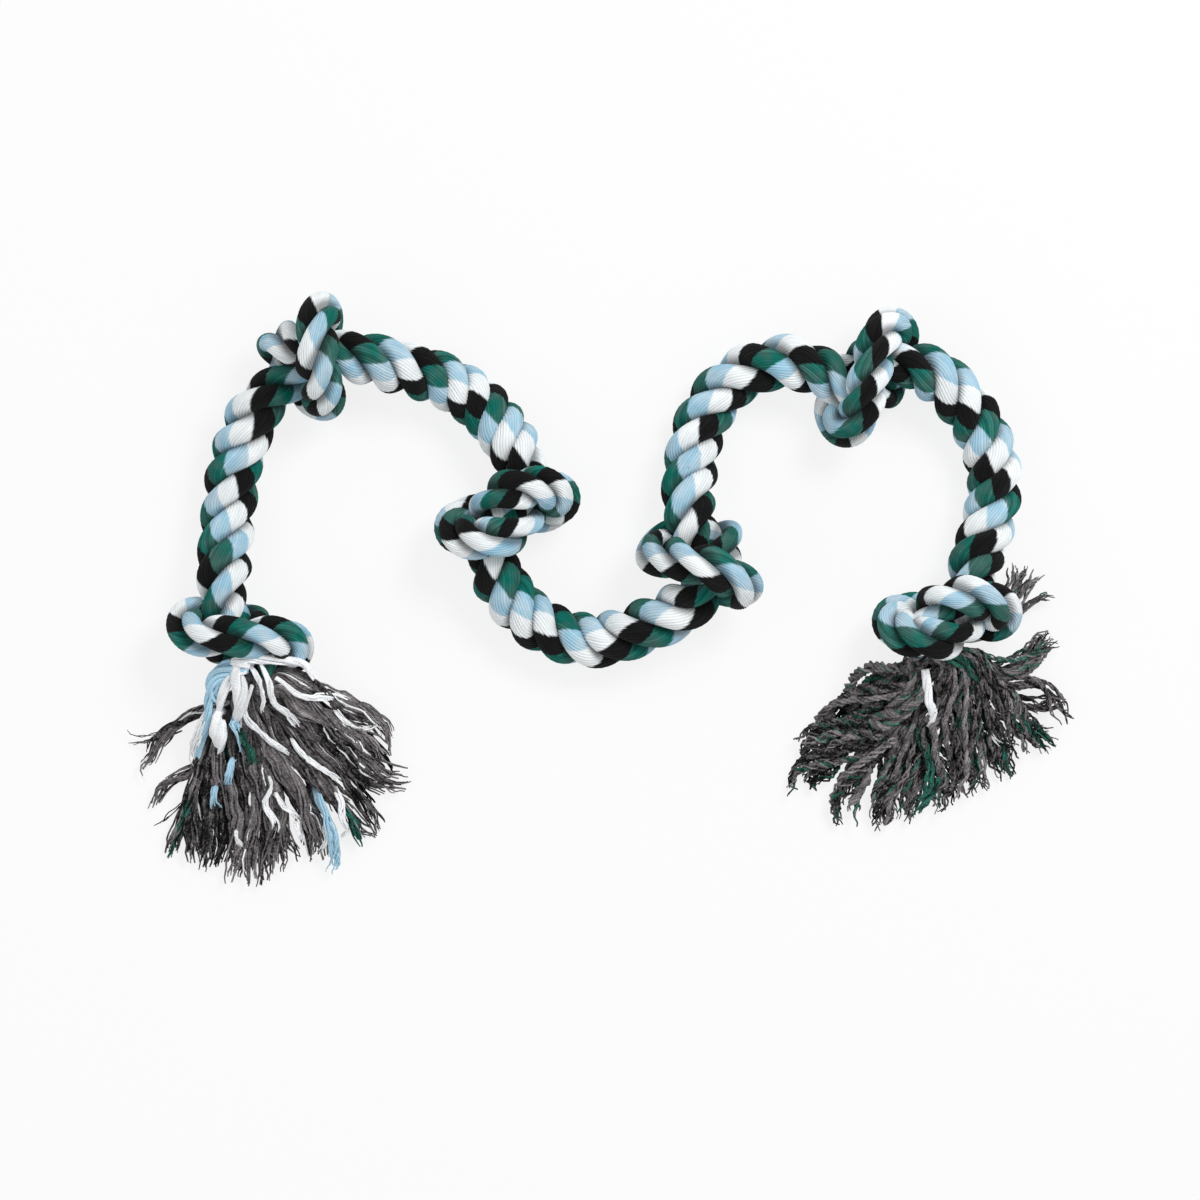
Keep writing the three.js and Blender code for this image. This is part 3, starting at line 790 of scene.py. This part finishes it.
# %% Bundles of the right end
RIGHT_BUNDLES = [
    (CHARCOAL_YARN, 0.6, 9, 18, [(182, -38), (172, -41), (160, -48), (152, -57), (149, -67), (144, -77)]),
    (CHARCOAL_YARN, 0.7, 7, 13, [(182, -39), (170, -47), (157, -56), (145, -65), (132, -74), (124, -82),
     (120, -88)]),
    (CHARCOAL_YARN, 0.8, 7.5, 14, [(177, -36), (182, -47), (179, -60), (171, -71), (160, -77),
     (149, -74), (138, -78), (122, -88)]),
    (CHARCOAL_YARN, 0.5, 6.5, 11, [(182, -43), (173, -62), (157, -70), (142, -78), (130, -85),
     (120, -95), (117, -103)]),
    (CHARCOAL_YARN, 0.35, 6, 11, [(175, -56), (157, -78), (138, -90), (126, -98), (117, -104),
     (118, -113)]),
    (CHARCOAL_YARN, 0.6, 6.5, 11, [(179, -49), (171, -72), (156, -87), (148, -101), (142, -115),
     (143, -132)]),
    (CHARCOAL_YARN, 0.3, 4.5, 8, [(179, -56), (166, -78), (153, -94), (146, -109), (139, -116)]),
    (CHARCOAL_YARN, 0.45, 5, 8, [(182, -51), (173, -78), (166, -94), (162, -111), (163, -133)]),
    (CHARCOAL_YARN, 0.3, 4.5, 8, [(181, -62), (175, -82), (171, -100), (167, -116), (167, -134)]),
    (CHARCOAL_YARN, 0.6, 5, 8, [(182, -49), (177, -73), (176, -94), (174, -111), (173, -133)]),
    (GREEN_YARN, 0.7, 4, 7, [(184, -62), (185, -78), (190, -93), (192, -106), (183, -126)]),
    (CHARCOAL_YARN, 0.4, 4.5, 7, [(186, -40), (184, -67), (182, -89), (181, -109), (179, -129)]),
    (CHARCOAL_YARN, 0.7, 5.5, 9, [(196, -38), (189, -49), (192, -60), (188, -73), (195, -90),
     (203, -103), (198, -115), (196, -125)]),
    (CHARCOAL_YARN, 0.8, 5.5, 9, [(200, -38), (201, -54), (200, -69), (203, -82), (207, -95),
     (210, -106), (209, -117)]),
    (CHARCOAL_YARN, 0.5, 5, 8, [(197, -40), (195, -65), (194, -84), (195, -102), (201, -111), (203, -121)]),
    (GREEN_YARN, 0.5, 4, 7, [(201, -45), (207, -67), (211, -84), (214, -100), (215, -114)]),
    (CHARCOAL_YARN, 0.7, 5, 8, [(203, -38), (208, -58), (215, -78), (219, -98), (221, -114)]),
    (CHARCOAL_YARN, 0.6, 5, 8, [(205, -37), (215, -60), (223, -80), (231, -95), (236, -107)]),
    (GREEN_YARN, 0.45, 4, 7, [(206, -45), (219, -67), (228, -84), (234, -95), (237, -102)]),
    (CHARCOAL_YARN, 0.7, 5, 8, [(207, -36), (221, -56), (231, -72), (239, -84), (244, -93)]),
    (CHARCOAL_YARN, 0.5, 4.5, 8, [(208, -36), (226, -50), (238, -66), (251, -78), (262, -88)]),
    (GREEN_YARN, 0.6, 3.5, 6, [(215, -40), (232, -58), (243, -71), (253, -80), (262, -89)]),
    (CHARCOAL_YARN, 0.6, 4.5, 8, [(210, -36), (228, -47), (241, -60), (252, -74), (262, -80)]),
    (GREEN_YARN, 0.9, 4, 7, [(206, -34), (212, -36), (218, -43), (225, -49)]),
    (CHARCOAL_YARN, 0.75, 4.5, 8, [(212, -34), (223, -40), (231, -47), (243, -47), (255, -49),
     (261, -57), (266, -69), (269, -74)]),
    (CHARCOAL_YARN, 0.5, 3.5, 6, [(215, -40), (232, -56), (247, -62), (258, -62), (265, -60), (272, -61)]),
    (CHARCOAL_YARN, 0.3, 3, 5, [(223, -45), (237, -60), (248, -62), (254, -65)]),
    (CHARCOAL_YARN, 0.8, 4.5, 9, [(215, -34), (226, -40), (237, -40), (248, -32), (253, -24), (259, -19)]),
    (CHARCOAL_YARN, 0.6, 4.5, 9, [(217, -36), (230, -44), (242, -40), (253, -32), (266, -26)]),
    (CHARCOAL_YARN, 0.5, 3, 5, [(219, -38), (234, -43), (248, -36), (259, -29), (267, -27)]),
    (CHARCOAL_YARN, 1.2, 3, 6, [(226, -7), (234, -1), (239, 9), (238, 20)]),
    (CHARCOAL_YARN, 1, 3, 6, [(228, -11), (238, -2), (244, 9), (249, 18)]),
    (CHARCOAL_YARN, 0.8, 3, 6, [(229, -13), (241, -5), (250, 5), (258, 11)]),
    (CHARCOAL_YARN, 0.6, 3, 6, [(230, -15), (243, -7), (255, 0), (263, 1)]),
    (CHARCOAL_YARN, 0.15, 6, 12, [(182, -37), (163, -60), (143, -81), (128, -97), (119, -106)]),
    (CHARCOAL_YARN, 0.15, 6, 10, [(182, -38), (166, -54), (150, -67), (136, -79)]),
    (CHARCOAL_YARN, 0.15, 6, 12, [(182, -41), (170, -70), (157, -93), (146, -108), (141, -121)]),
    (CHARCOAL_YARN, 0.15, 6, 12, [(184, -43), (176, -74), (167, -99), (163, -116), (165, -131)]),
    (CHARCOAL_YARN, 0.15, 5.5, 12, [(186, -46), (184, -81), (182, -105), (180, -124)]),
    (CHARCOAL_YARN, 0.15, 5.5, 12, [(200, -44), (205, -70), (208, -90), (210, -110)]),
    (CHARCOAL_YARN, 0.15, 5.5, 12, [(204, -42), (220, -66), (230, -84), (240, -98)]),
    (WHITE_YARN, 0.8, 1.1, 2, [(223, -76), (229, -83), (234, -87)]),
]
# A white part of a strand that still holds together
RIGHT_STRAND_ENDS = [(WHITE_YARN, 1.05, 3.2, 8, [(189, -59), (192, -65), (190, -75)])]
print(sum(row[3] for row in RIGHT_BUNDLES), "yarns in the right end's table")

# %% Heights of the bundles
# In the rope's end the levels from 0 to 1 are spread over this height, with this one in the middle
ROOT_SPREAD, MIDDLE_LEVEL = 24 * MM, 0.5
# A bundle drawn from within this reach of the rope's end starts at this share of its distance from it
ROOT_REACH, ROOT_SHARE = 30 * MM, 0.4
# Between these distances from the end it sinks into the heap, where the levels are spread over this height
FALL_FROM, FALL_TO, HEAP_HEIGHT = 4 * MM, 70 * MM, 15 * MM
# The middle of a bundle on the floor is at this share of its radius
RESTING_SHARE = 0.55
# From this share of its length on a bundle sinks again, in the end by this share of its level's height
DROP_FROM, TIP_DROP = 0.5, 0.55
# One that starts among the others comes up from this much lower, over this share of its length
DIVE, DIVE_SHARE = 0.6, 0.2
BUNDLE_STEPS = 6


def bundle_line(points, level, bundle_radius, root):
    """The middle line of one bundle: its drawn way over the floor, at the heights of its level."""
    drawn = np.array(points) * MM
    is_rooted = np.linalg.norm(drawn[0] - root[:2]) < ROOT_REACH
    if is_rooted:
        drawn = np.vstack([root[:2] + (drawn[0] - root[:2]) * ROOT_SHARE, drawn])
    flat = spline(drawn, BUNDLE_STEPS)
    from_root = np.linalg.norm(flat - root[:2], axis=1)
    share = lengths_along(flat) / lengths_along(flat)[-1]
    fallen = smooth_step(from_root, FALL_FROM, FALL_TO)
    near = root[2] + (level - MIDDLE_LEVEL) * ROOT_SPREAD
    sunk = TIP_DROP * smooth_step(share, DROP_FROM, 1)
    far = bundle_radius * RESTING_SHARE + level * HEAP_HEIGHT * (1 - sunk)
    height = near + (far - near) * fallen
    if not is_rooted:
        height = height * (1 - DIVE * (1 - smooth_step(share, 0, DIVE_SHARE)))
    return np.column_stack([flat, height])


def bundle_lines(name, rows, root):
    """A mesh of all the bundles' lines, each point with its bundle's values."""
    places, edges, values = [], [], []
    for tint, level, bundle_radius, yarns, points in rows:
        line = bundle_line(points, level, bundle_radius * MM, root)
        edges += [(len(places) + k, len(places) + k + 1) for k in range(len(line) - 1)]
        places += list(line)
        values += [(bundle_radius * MM, yarns, tint, level)] * len(line)
    mesh = bpy.data.meshes.new(name)
    mesh.from_pydata(places, edges, [])
    for title, column in zip(("bundle_radius", "yarns", "tint", "level"), np.array(values, dtype=float).T):
        put_attribute(mesh, title, column)
    return mesh


# %% [markdown]
# ## One tree for both ends
# Geometry Nodes turn every bundle's line into yarns. The line is first repeated for each cord of the
# bundle, and the cords are spread over its section and wound round its middle. Each cord is then split into
# its yarns in the same way. Noise makes the cords sway and crumple and the yarns crimp. Each yarn is cut at
# a length of its own, and a small ring is drawn along it.

# %% Tree of the frayed yarns: its inputs
fray_tree, fray, given = shape_tree("frayed yarns", {
    "Cords in a bundle": 1,
    "Cord share": 1.0,
    "Cords apart": 1.0,
    "Cord turn length": 90 * MM,
    "More yarns": 2.4,
    "Fill": 0.4,
    "Point distance": 2.6 * MM,
    "Sway": 5 * MM,
    "Sway length": 28 * MM,
    "Crumple": 3 * MM,
    "Crumple length": 11 * MM,
    "Crimp": 1.4 * MM,
    "Crimp length": 8 * MM,
    "Twist length": 110 * MM,
    "Width": 1.2,
    "Thickness": 0.7,
    "Root share": 0.6,
    "Tip flare": 0.3,
    "Shortest": 0.78,
    "Stray tint share": 0.04,
    "Stray tint": float(GREEN_YARN),
    "Seed": 4,
    "Sides of a yarn": 5,
    "Finish": None,
})
print(len(fray_tree.interface.items_tree) - 1, "inputs shape the yarns")

# %% Tree of the frayed yarns: random values, waves and winding
# Each kind of random value has a number of its own, and each numbered item its own place in the noise, so
# that no two go together
YARN_CUT, YARN_SIZE, STRAY, YARN_TONE, CORD_TONE, CORD_PLACE, YARN_PLACE = 1, 2, 5, 6, 7, 10, 20
NOISE_STEP = 7.31


def of_each(seed_step, low, high, number):
    """A random value for each numbered item, the same on every run."""
    seed = fray(ADD, given["Seed"], float(seed_step))
    return fray("FunctionNodeRandomValue", low, high, number, seed, data_type="FLOAT")


def noise_offset(length, amount, number):
    """A wavering shift whose pattern differs from one numbered item to the next."""
    apart = fray(MULTIPLY, number, NOISE_STEP)
    place = fray(OVER, fray("GeometryNodeInputPosition"), length)
    place = fray(PLUS, place, fray(COMBINE, apart, 0.0, 0.0))
    wave = fray(NOISE, place, 1.0, 1.0, output=1)
    return fray(SCALE, fray(MINUS, wave, (0.5, 0.5, 0.5)), amount)


def number_of_each():
    """The number of the line that a point belongs to."""
    return fray("GeometryNodeFieldOnDomain", fray("GeometryNodeInputIndex"), data_type="INT", domain="CURVE")


def spread_out(lines, number, seed_step, room, turn_length):
    """The lines moved apart over a bundle's or a cord's section, and wound round its middle."""
    reach = fray(MULTIPLY, fray(SQRT, of_each(seed_step, 0.0, 1.0, number)), room)
    length_along = fray("GeometryNodeSplineParameter", output=1)
    winding = fray(MULTIPLY, fray(DIVIDE, length_along, turn_length), 2 * math.pi)
    angle = fray(ADD, of_each(seed_step + 1, 0.0, 2 * math.pi, number), winding)
    line_way = fray("GeometryNodeInputTangent")
    beside = fray(UNIT, fray(CROSS, (0.0, 0.0, 1.0), line_way))
    above = fray(CROSS, line_way, beside)
    sideways = fray(MULTIPLY, fray(MULTIPLY, fray(COSINE, angle), reach), given["Width"])
    upwards = fray(MULTIPLY, fray(MULTIPLY, fray(SINE, angle), reach), given["Thickness"])
    shift = fray(PLUS, fray(SCALE, beside, sideways), fray(SCALE, above, upwards))
    return fray(MOVE, lines, None, None, shift)


# %% Tree of the frayed yarns: bundles and their cords
# Shares of the length at which a bundle is at its widest and its cords sway freely
WIDEST, FREE = 0.35, 0.4
of_line = {name: fray(READ, name, data_type="FLOAT")
           for name in ("bundle_radius", "yarns", "tint", "level", "cord_tone")}
lines = fray("GeometryNodeMeshToCurve", given["Geometry"])
lines = fray("GeometryNodeResampleCurve", lines, None, given["Point distance"], mode="LENGTH")
length_share = fray("GeometryNodeSplineParameter")
belly = fray(REMAP, length_share, 0.0, WIDEST, given["Root share"], 1.0, interpolation_type="SMOOTHSTEP")
lines = fray("GeometryNodeDuplicateElements", lines, None, given["Cords in a bundle"], domain="SPLINE")
cord_number = number_of_each()
cord_room = fray(MULTIPLY, of_line["bundle_radius"], belly)
cord_room = fray(MULTIPLY, cord_room, fray(SUBTRACT, 1.0, given["Cord share"]))
cord_room = fray(MULTIPLY, cord_room, given["Cords apart"])
cord_tone = of_each(CORD_TONE, 0.0, 1.0, cord_number)
lines = fray(STORE, lines, None, "cord_tone", cord_tone, data_type="FLOAT", domain="POINT")
lines = spread_out(lines, cord_number, CORD_PLACE, cord_room, given["Cord turn length"])
loose = fray(REMAP, length_share, 0.0, FREE, 0.0, 1.0)
sway = fray(MULTIPLY, given["Sway"], loose)
lines = fray(MOVE, lines, None, None, noise_offset(given["Sway length"], sway, cord_number))
crumple = fray(MULTIPLY, given["Crumple"], loose)
lines = fray(MOVE, lines, None, None, noise_offset(given["Crumple length"], crumple, cord_number))

# %% Tree of the frayed yarns: where each one runs in its cord
# Yarns differ in thickness by these factors, crimp more towards their tips, and open out past this share
SIZES, CRIMPS, OPENS_FROM = (0.75, 1.3), (0.2, 1.8), 0.7
many = fray(MULTIPLY, of_line["yarns"], given["More yarns"])
many = fray(CEIL, fray(DIVIDE, many, given["Cords in a bundle"]))
lines = fray("GeometryNodeDuplicateElements", lines, None, many, domain="SPLINE")
yarn_number = number_of_each()
cut = of_each(YARN_CUT, given["Shortest"], 1.0, yarn_number)
lines = fray("GeometryNodeTrimCurve", lines, None, 0.0, cut)
cord_radius = fray(MULTIPLY, of_line["bundle_radius"], given["Cord share"])
thin = fray(SQRT, fray(DIVIDE, given["Fill"], many))
yarn_radius = fray(MULTIPLY, cord_radius, thin)
yarn_radius = fray(MULTIPLY, yarn_radius, of_each(YARN_SIZE, *SIZES, yarn_number))
flare = fray(REMAP, length_share, OPENS_FROM, 1.0, 0.0, given["Tip flare"])
opened = fray(MULTIPLY, cord_radius, fray(ADD, belly, flare))
room = fray(SUBTRACT, opened, yarn_radius)
lines = spread_out(lines, yarn_number, YARN_PLACE, room, given["Twist length"])
crimp = fray(MULTIPLY, given["Crimp"], fray(REMAP, length_share, 0.0, 1.0, *CRIMPS))
lines = fray(MOVE, lines, None, None, noise_offset(given["Crimp length"], crimp, yarn_number))
FLOOR_BLEND = 1 * MM
parts = fray("ShaderNodeSeparateXYZ", fray("GeometryNodeInputPosition")).node.outputs
rested = fray(SMOOTH_MAX, parts["Z"], yarn_radius, FLOOR_BLEND)
lines = fray(MOVE, lines, None, fray(COMBINE, parts["X"], parts["Y"], rested))

# %% Tree of the frayed yarns: rings and attributes
# Some of the charcoal yarns take another tint
is_charcoal = fray(LESS_THAN, of_line["tint"], CHARCOAL_YARN + 0.5)
is_picked = fray(LESS_THAN, of_each(STRAY, 0.0, 1.0, yarn_number), given["Stray tint share"])
is_stray = fray(MULTIPLY, is_picked, is_charcoal)
tint = fray("ShaderNodeMix", is_stray, of_line["tint"], given["Stray tint"], data_type="FLOAT")
tone = fray(ADD, of_each(YARN_TONE, 0.0, 1.0, yarn_number), of_line["cord_tone"])
tone = fray(SUBTRACT, tone, 1.0)
# Painted shade: what lies low in the heap, under the other bundles, is darker
LEVELS, LEVEL_SHADES = (0.3, 0.8), (-0.4, 0.1)
tone = fray(ADD, tone, fray(REMAP, of_line["level"], *LEVELS, *LEVEL_SHADES))
length_along = fray("GeometryNodeSplineParameter", output=1)
for name, field in {"tint": tint, "tone": tone, "along": length_along}.items():
    lines = fray(STORE, lines, None, name, field, data_type="FLOAT", domain="POINT")
ring = fray("GeometryNodeCurvePrimitiveCircle", given["Sides of a yarn"], 1.0)
across = fray("GeometryNodeInputPosition")
ring = fray(STORE, ring, None, "across", across, data_type="FLOAT_VECTOR", domain="POINT")
# A yarn grows thinner from the first share of its length on, to the second share of its thickness
TAPER_FROM, TIP_THICKNESS = 0.9, 0.55
taper = fray(REMAP, length_share, TAPER_FROM, 1.0, 1.0, TIP_THICKNESS)
made = fray("GeometryNodeCurveToMesh", lines, ring, fray(MULTIPLY, yarn_radius, taper), True)
made = fray("GeometryNodeSetShadeSmooth", made)
made = fray("GeometryNodeRealizeInstances", made)
made = fray("GeometryNodeSetMaterial", made, None, given["Finish"])
end_tree(fray_tree, made)
print(len(fray_tree.nodes), "nodes make the frayed yarns")

# %% [markdown]
# ## Frayed cotton
# The loose yarns are matt two-ply cotton. The inner ones were never dyed in the bright colours of the
# outside: they are spun from dark and pale fibres to a flecked charcoal that differs from yarn to yarn.
# Shade is painted on what lies low in the heap. The two plies give each yarn a fine twisted line, with
# painted shade in the groove between them.

# %% Frayed cotton yarn
YARN_COLOURS = [CHARCOAL, "#f3f5f7", "#24554a", LIGHT_BLUE]
frayed_cotton, shader, dye, dye_tree = new_material("frayed cotton yarn")
stored = {name: dye("ShaderNodeAttribute", output=2, attribute_name=name)
          for name in ("tint", "tone", "along")}
across = dye("ShaderNodeAttribute", output=1, attribute_name="across")
place = dye("ShaderNodeTexCoord", output=3)
half_step = dye(DIVIDE, dye(ADD, stored["tint"], 0.5), float(len(YARN_COLOURS)))
colour = dye("ShaderNodeValToRGB", half_step)
ramp = colour.node.color_ramp
ramp.interpolation = "CONSTANT"
ramp.elements[0].color = linear(YARN_COLOURS[0])
ramp.elements[1].position = 1 / len(YARN_COLOURS)
ramp.elements[1].color = linear(YARN_COLOURS[1])
for number in range(2, len(YARN_COLOURS)):
    ramp.elements.new(number / len(YARN_COLOURS)).color = linear(YARN_COLOURS[number])

# The shade differs from yarn to yarn and in patches of a few millimetres, less so on pale yarns
PATCH, PATCH_AT, PATCH_SHADES = 6 * MM, (0.3, 0.7), (-0.4, 0.4)
PALE_AT, SPREADS = (0.3, 0.5), (1.3, 0.15)
patchy = dye(REMAP, dye(NOISE, place, 1 / PATCH, 3.0), *PATCH_AT, *PATCH_SHADES)
is_pale = dye(REMAP, dye("ShaderNodeRGBToBW", colour), *PALE_AT, 0.0, 1.0)
spread = dye(REMAP, is_pale, 0.0, 1.0, *SPREADS)
# Dark and pale fibres fleck every yarn. Real flecks are too fine to show, so they are drawn coarser
FLECK, FLECK_AT, FLECK_SHADES = 1.4 * MM, (0.35, 0.65), (-0.34, 0.34)
flecks = dye(REMAP, dye(NOISE, place, 1 / FLECK, 1.0), *FLECK_AT, *FLECK_SHADES)
# The tone carries the painted shade of what lies low in the heap
varied = dye(ADD, dye(ADD, stored["tone"], patchy), flecks)
shade = dye(ADD, dye(MULTIPLY, varied, spread), 1.0)
colour = dye(RECOLOUR, 0.5, 1.0, shade, 1.0, colour)

# The two plies turn round each other. Painted shade darkens the groove between them, less on pale yarns, and
# their crowns are painted a little lighter
PLY_TURN, PLY_HEIGHT, PLY_FLANK = 4 * MM, 0.12 * MM, 0.5
PLY_GROOVE_SHADES, PLY_CROWN_LIGHT = (0.62, 0.86), 1.06
turned_plies = dye(MULTIPLY, stored["along"], 2 * math.pi / PLY_TURN)
plies = dye("ShaderNodeVectorRotate", across, (0.0, 0.0, 0.0), (0.0, 0.0, 1.0), turned_plies)
ply_height = dye(ABSOLUTE, dye("ShaderNodeSeparateXYZ", plies))
painted_groove_shade = dye(REMAP, is_pale, 0.0, 1.0, *PLY_GROOVE_SHADES)
painted_groove_shade = dye(REMAP, ply_height, 0.0, PLY_FLANK, painted_groove_shade, PLY_CROWN_LIGHT)
colour = dye(RECOLOUR, 0.5, 1.0, painted_groove_shade, 1.0, colour)
dye_tree.links.new(colour, shader["Base Color"])
bump = dye("ShaderNodeBump", BUMP_STRENGTH, PLY_HEIGHT)
dye_tree.links.new(ply_height, bump.node.inputs["Height"])
dye_tree.links.new(bump, shader["Normal"])
print(len(dye_tree.nodes), "nodes make the frayed cotton")

# %% The two frayed ends
LEFT_LOOK = {"Cords in a bundle": 3, "Cord share": 0.56, "More yarns": 2.7, "Fill": 0.55, "Tip flare": 0.4,
             "Sway": 6 * MM, "Crumple": 4.5 * MM, "Crimp": 2 * MM, "Stray tint": float(WHITE_YARN),
             "Stray tint share": 0.05, "Shortest": 0.7}
RIGHT_LOOK = {"Cords in a bundle": 5, "Cord share": 0.4, "Cords apart": 1.8, "More yarns": 3.1, "Fill": 0.6,
              "Twist length": 14 * MM, "Width": 1.15, "Thickness": 0.8, "Crimp": 0.7 * MM, "Crumple": 2 * MM,
              "Stray tint share": 0.12, "Seed": 40}
STRAND_LOOK = {"More yarns": 1.2, "Fill": 0.85, "Crimp": 0.4 * MM, "Crumple": 1 * MM, "Sway": 2 * MM,
               "Root share": 0.8, "Tip flare": -0.35, "Shortest": 0.93, "Thickness": 0.85, "Width": 1.0,
               "Twist length": 60 * MM, "Seed": 70}
# The highest level of the lower piece of an end
LOW_LEVEL = 0.5


def frayed_piece(name, rows, root, body, node, look):
    """One piece of a frayed end, attached to the body of that end."""
    lines = bundle_lines(name, rows, root)
    piece = plain_mesh(name, fray_tree, lines, {"Finish": frayed_cotton, **look})
    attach(piece, body)
    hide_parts(node)
    triangles = sum(len(face.vertices) - 2 for face in piece.data.polygons)
    print(f"{name}: {len(rows)} bundles, {triangles} triangles")


for name, rows, root, look in [("left", LEFT_BUNDLES, centre[borders[0]], LEFT_LOOK),
                               ("right", RIGHT_BUNDLES, centre[borders[-1]], RIGHT_LOOK)]:
    body, node = f"{name}_end", f"{name}_tassel"
    frayed_piece(f"{name}_lower_yarns", [row for row in rows if row[1] <= LOW_LEVEL], root, body, node, look)
    frayed_piece(f"{name}_upper_yarns", [row for row in rows if row[1] > LOW_LEVEL], root, body, node, look)
for name, rows, root in [("left", LEFT_STRAND_ENDS, centre[borders[0]]),
                         ("right", RIGHT_STRAND_ENDS, centre[borders[-1]])]:
    frayed_piece(f"{name}_strand_ends", rows, root, f"{name}_end", f"{name}_tassel", STRAND_LOOK)

# %% [markdown]
# ## Floor and light
# The toy lies on a white floor in soft light. What the camera sees of the floor is mostly plain white, with
# enough of the lit surface mixed in to keep the toy's soft shadow. The lamps only light the toy, at a level
# at which a colour looks as it was written.

# %% Floor
# The paper lies this far below the toy, and this share of its look is plain white
FLOOR_SIZE, FLOOR_DROP, WHITE_SHARE = 4.0, 0.3 * MM, 0.82


def seen_itself(put_node):
    """1 on rays that show the camera what they meet, and 0 on those that bring light."""
    rays = put_node("ShaderNodeLightPath").node.outputs
    seen = put_node(MAXIMUM, rays["Is Camera Ray"], rays["Is Glossy Ray"])
    return put_node(MAXIMUM, seen, rays["Is Transmission Ray"])


floor_mesh = bpy.data.meshes.new("floor")
half = FLOOR_SIZE / 2
floor_mesh.from_pydata([(-half, -half, -FLOOR_DROP), (half, -half, -FLOOR_DROP), (half, half, -FLOOR_DROP),
                        (-half, half, -FLOOR_DROP)], [], [(0, 1, 2, 3)])
floor = bpy.data.objects.new("floor", floor_mesh)
bpy.context.scene.collection.objects.link(floor)
# Matt white paper takes a soft shadow and mirrors nothing
paper = bpy.data.materials.new("white paper")
paper.use_nodes = True
paper.node_tree.nodes.clear()
white = functools.partial(add, paper.node_tree)
lit = white("ShaderNodeBsdfDiffuse", linear("#f2f2f2"), 1.0)
glow = white("ShaderNodeEmission", linear("#ffffff"), 1.0)
mixed = white("ShaderNodeMixShader", white(MULTIPLY, seen_itself(white), WHITE_SHARE), lit, glow)
paper.node_tree.links.new(mixed, paper.node_tree.nodes.new("ShaderNodeOutputMaterial").inputs["Surface"])
floor_mesh.materials.append(paper)
print(f"{FLOOR_SIZE:.0f} m of white paper")

# %% Light
world = bpy.data.worlds.new("studio")
bpy.context.scene.world = world
world.use_nodes = True
world.node_tree.nodes.clear()
studio = functools.partial(add, world.node_tree)
AMBIENT = 0.5
strength = studio(REMAP, seen_itself(studio), 0.0, 1.0, AMBIENT, 1.0)
backdrop = studio("ShaderNodeBackground", linear("#ffffff"), strength)
world.node_tree.links.new(backdrop, world.node_tree.nodes.new("ShaderNodeOutputWorld").inputs["Surface"])

# A strong lamp and, across from it, a larger and weaker one: place and size in metres, power in watts
LAMPS = [((1.0, 1.1, 1.9), 0.9, 34.0), ((-1.4, -0.4, 1.8), 1.6, 9.0)]
for number, (place, size, power) in enumerate(LAMPS):
    lamp = bpy.data.objects.new(f"lamp_{number + 1}", bpy.data.lights.new(f"lamp_{number + 1}", "AREA"))
    bpy.context.scene.collection.objects.link(lamp)
    lamp.data.size = size
    lamp.data.energy = power
    lamp.location = place
    away = np.array(place) / np.linalg.norm(place)
    lamp.rotation_euler = (math.acos(away[2]), 0, math.atan2(away[1], away[0]) + math.pi / 2)
bpy.context.scene.view_settings.view_transform = "Standard"
print(len(LAMPS), "lamps")
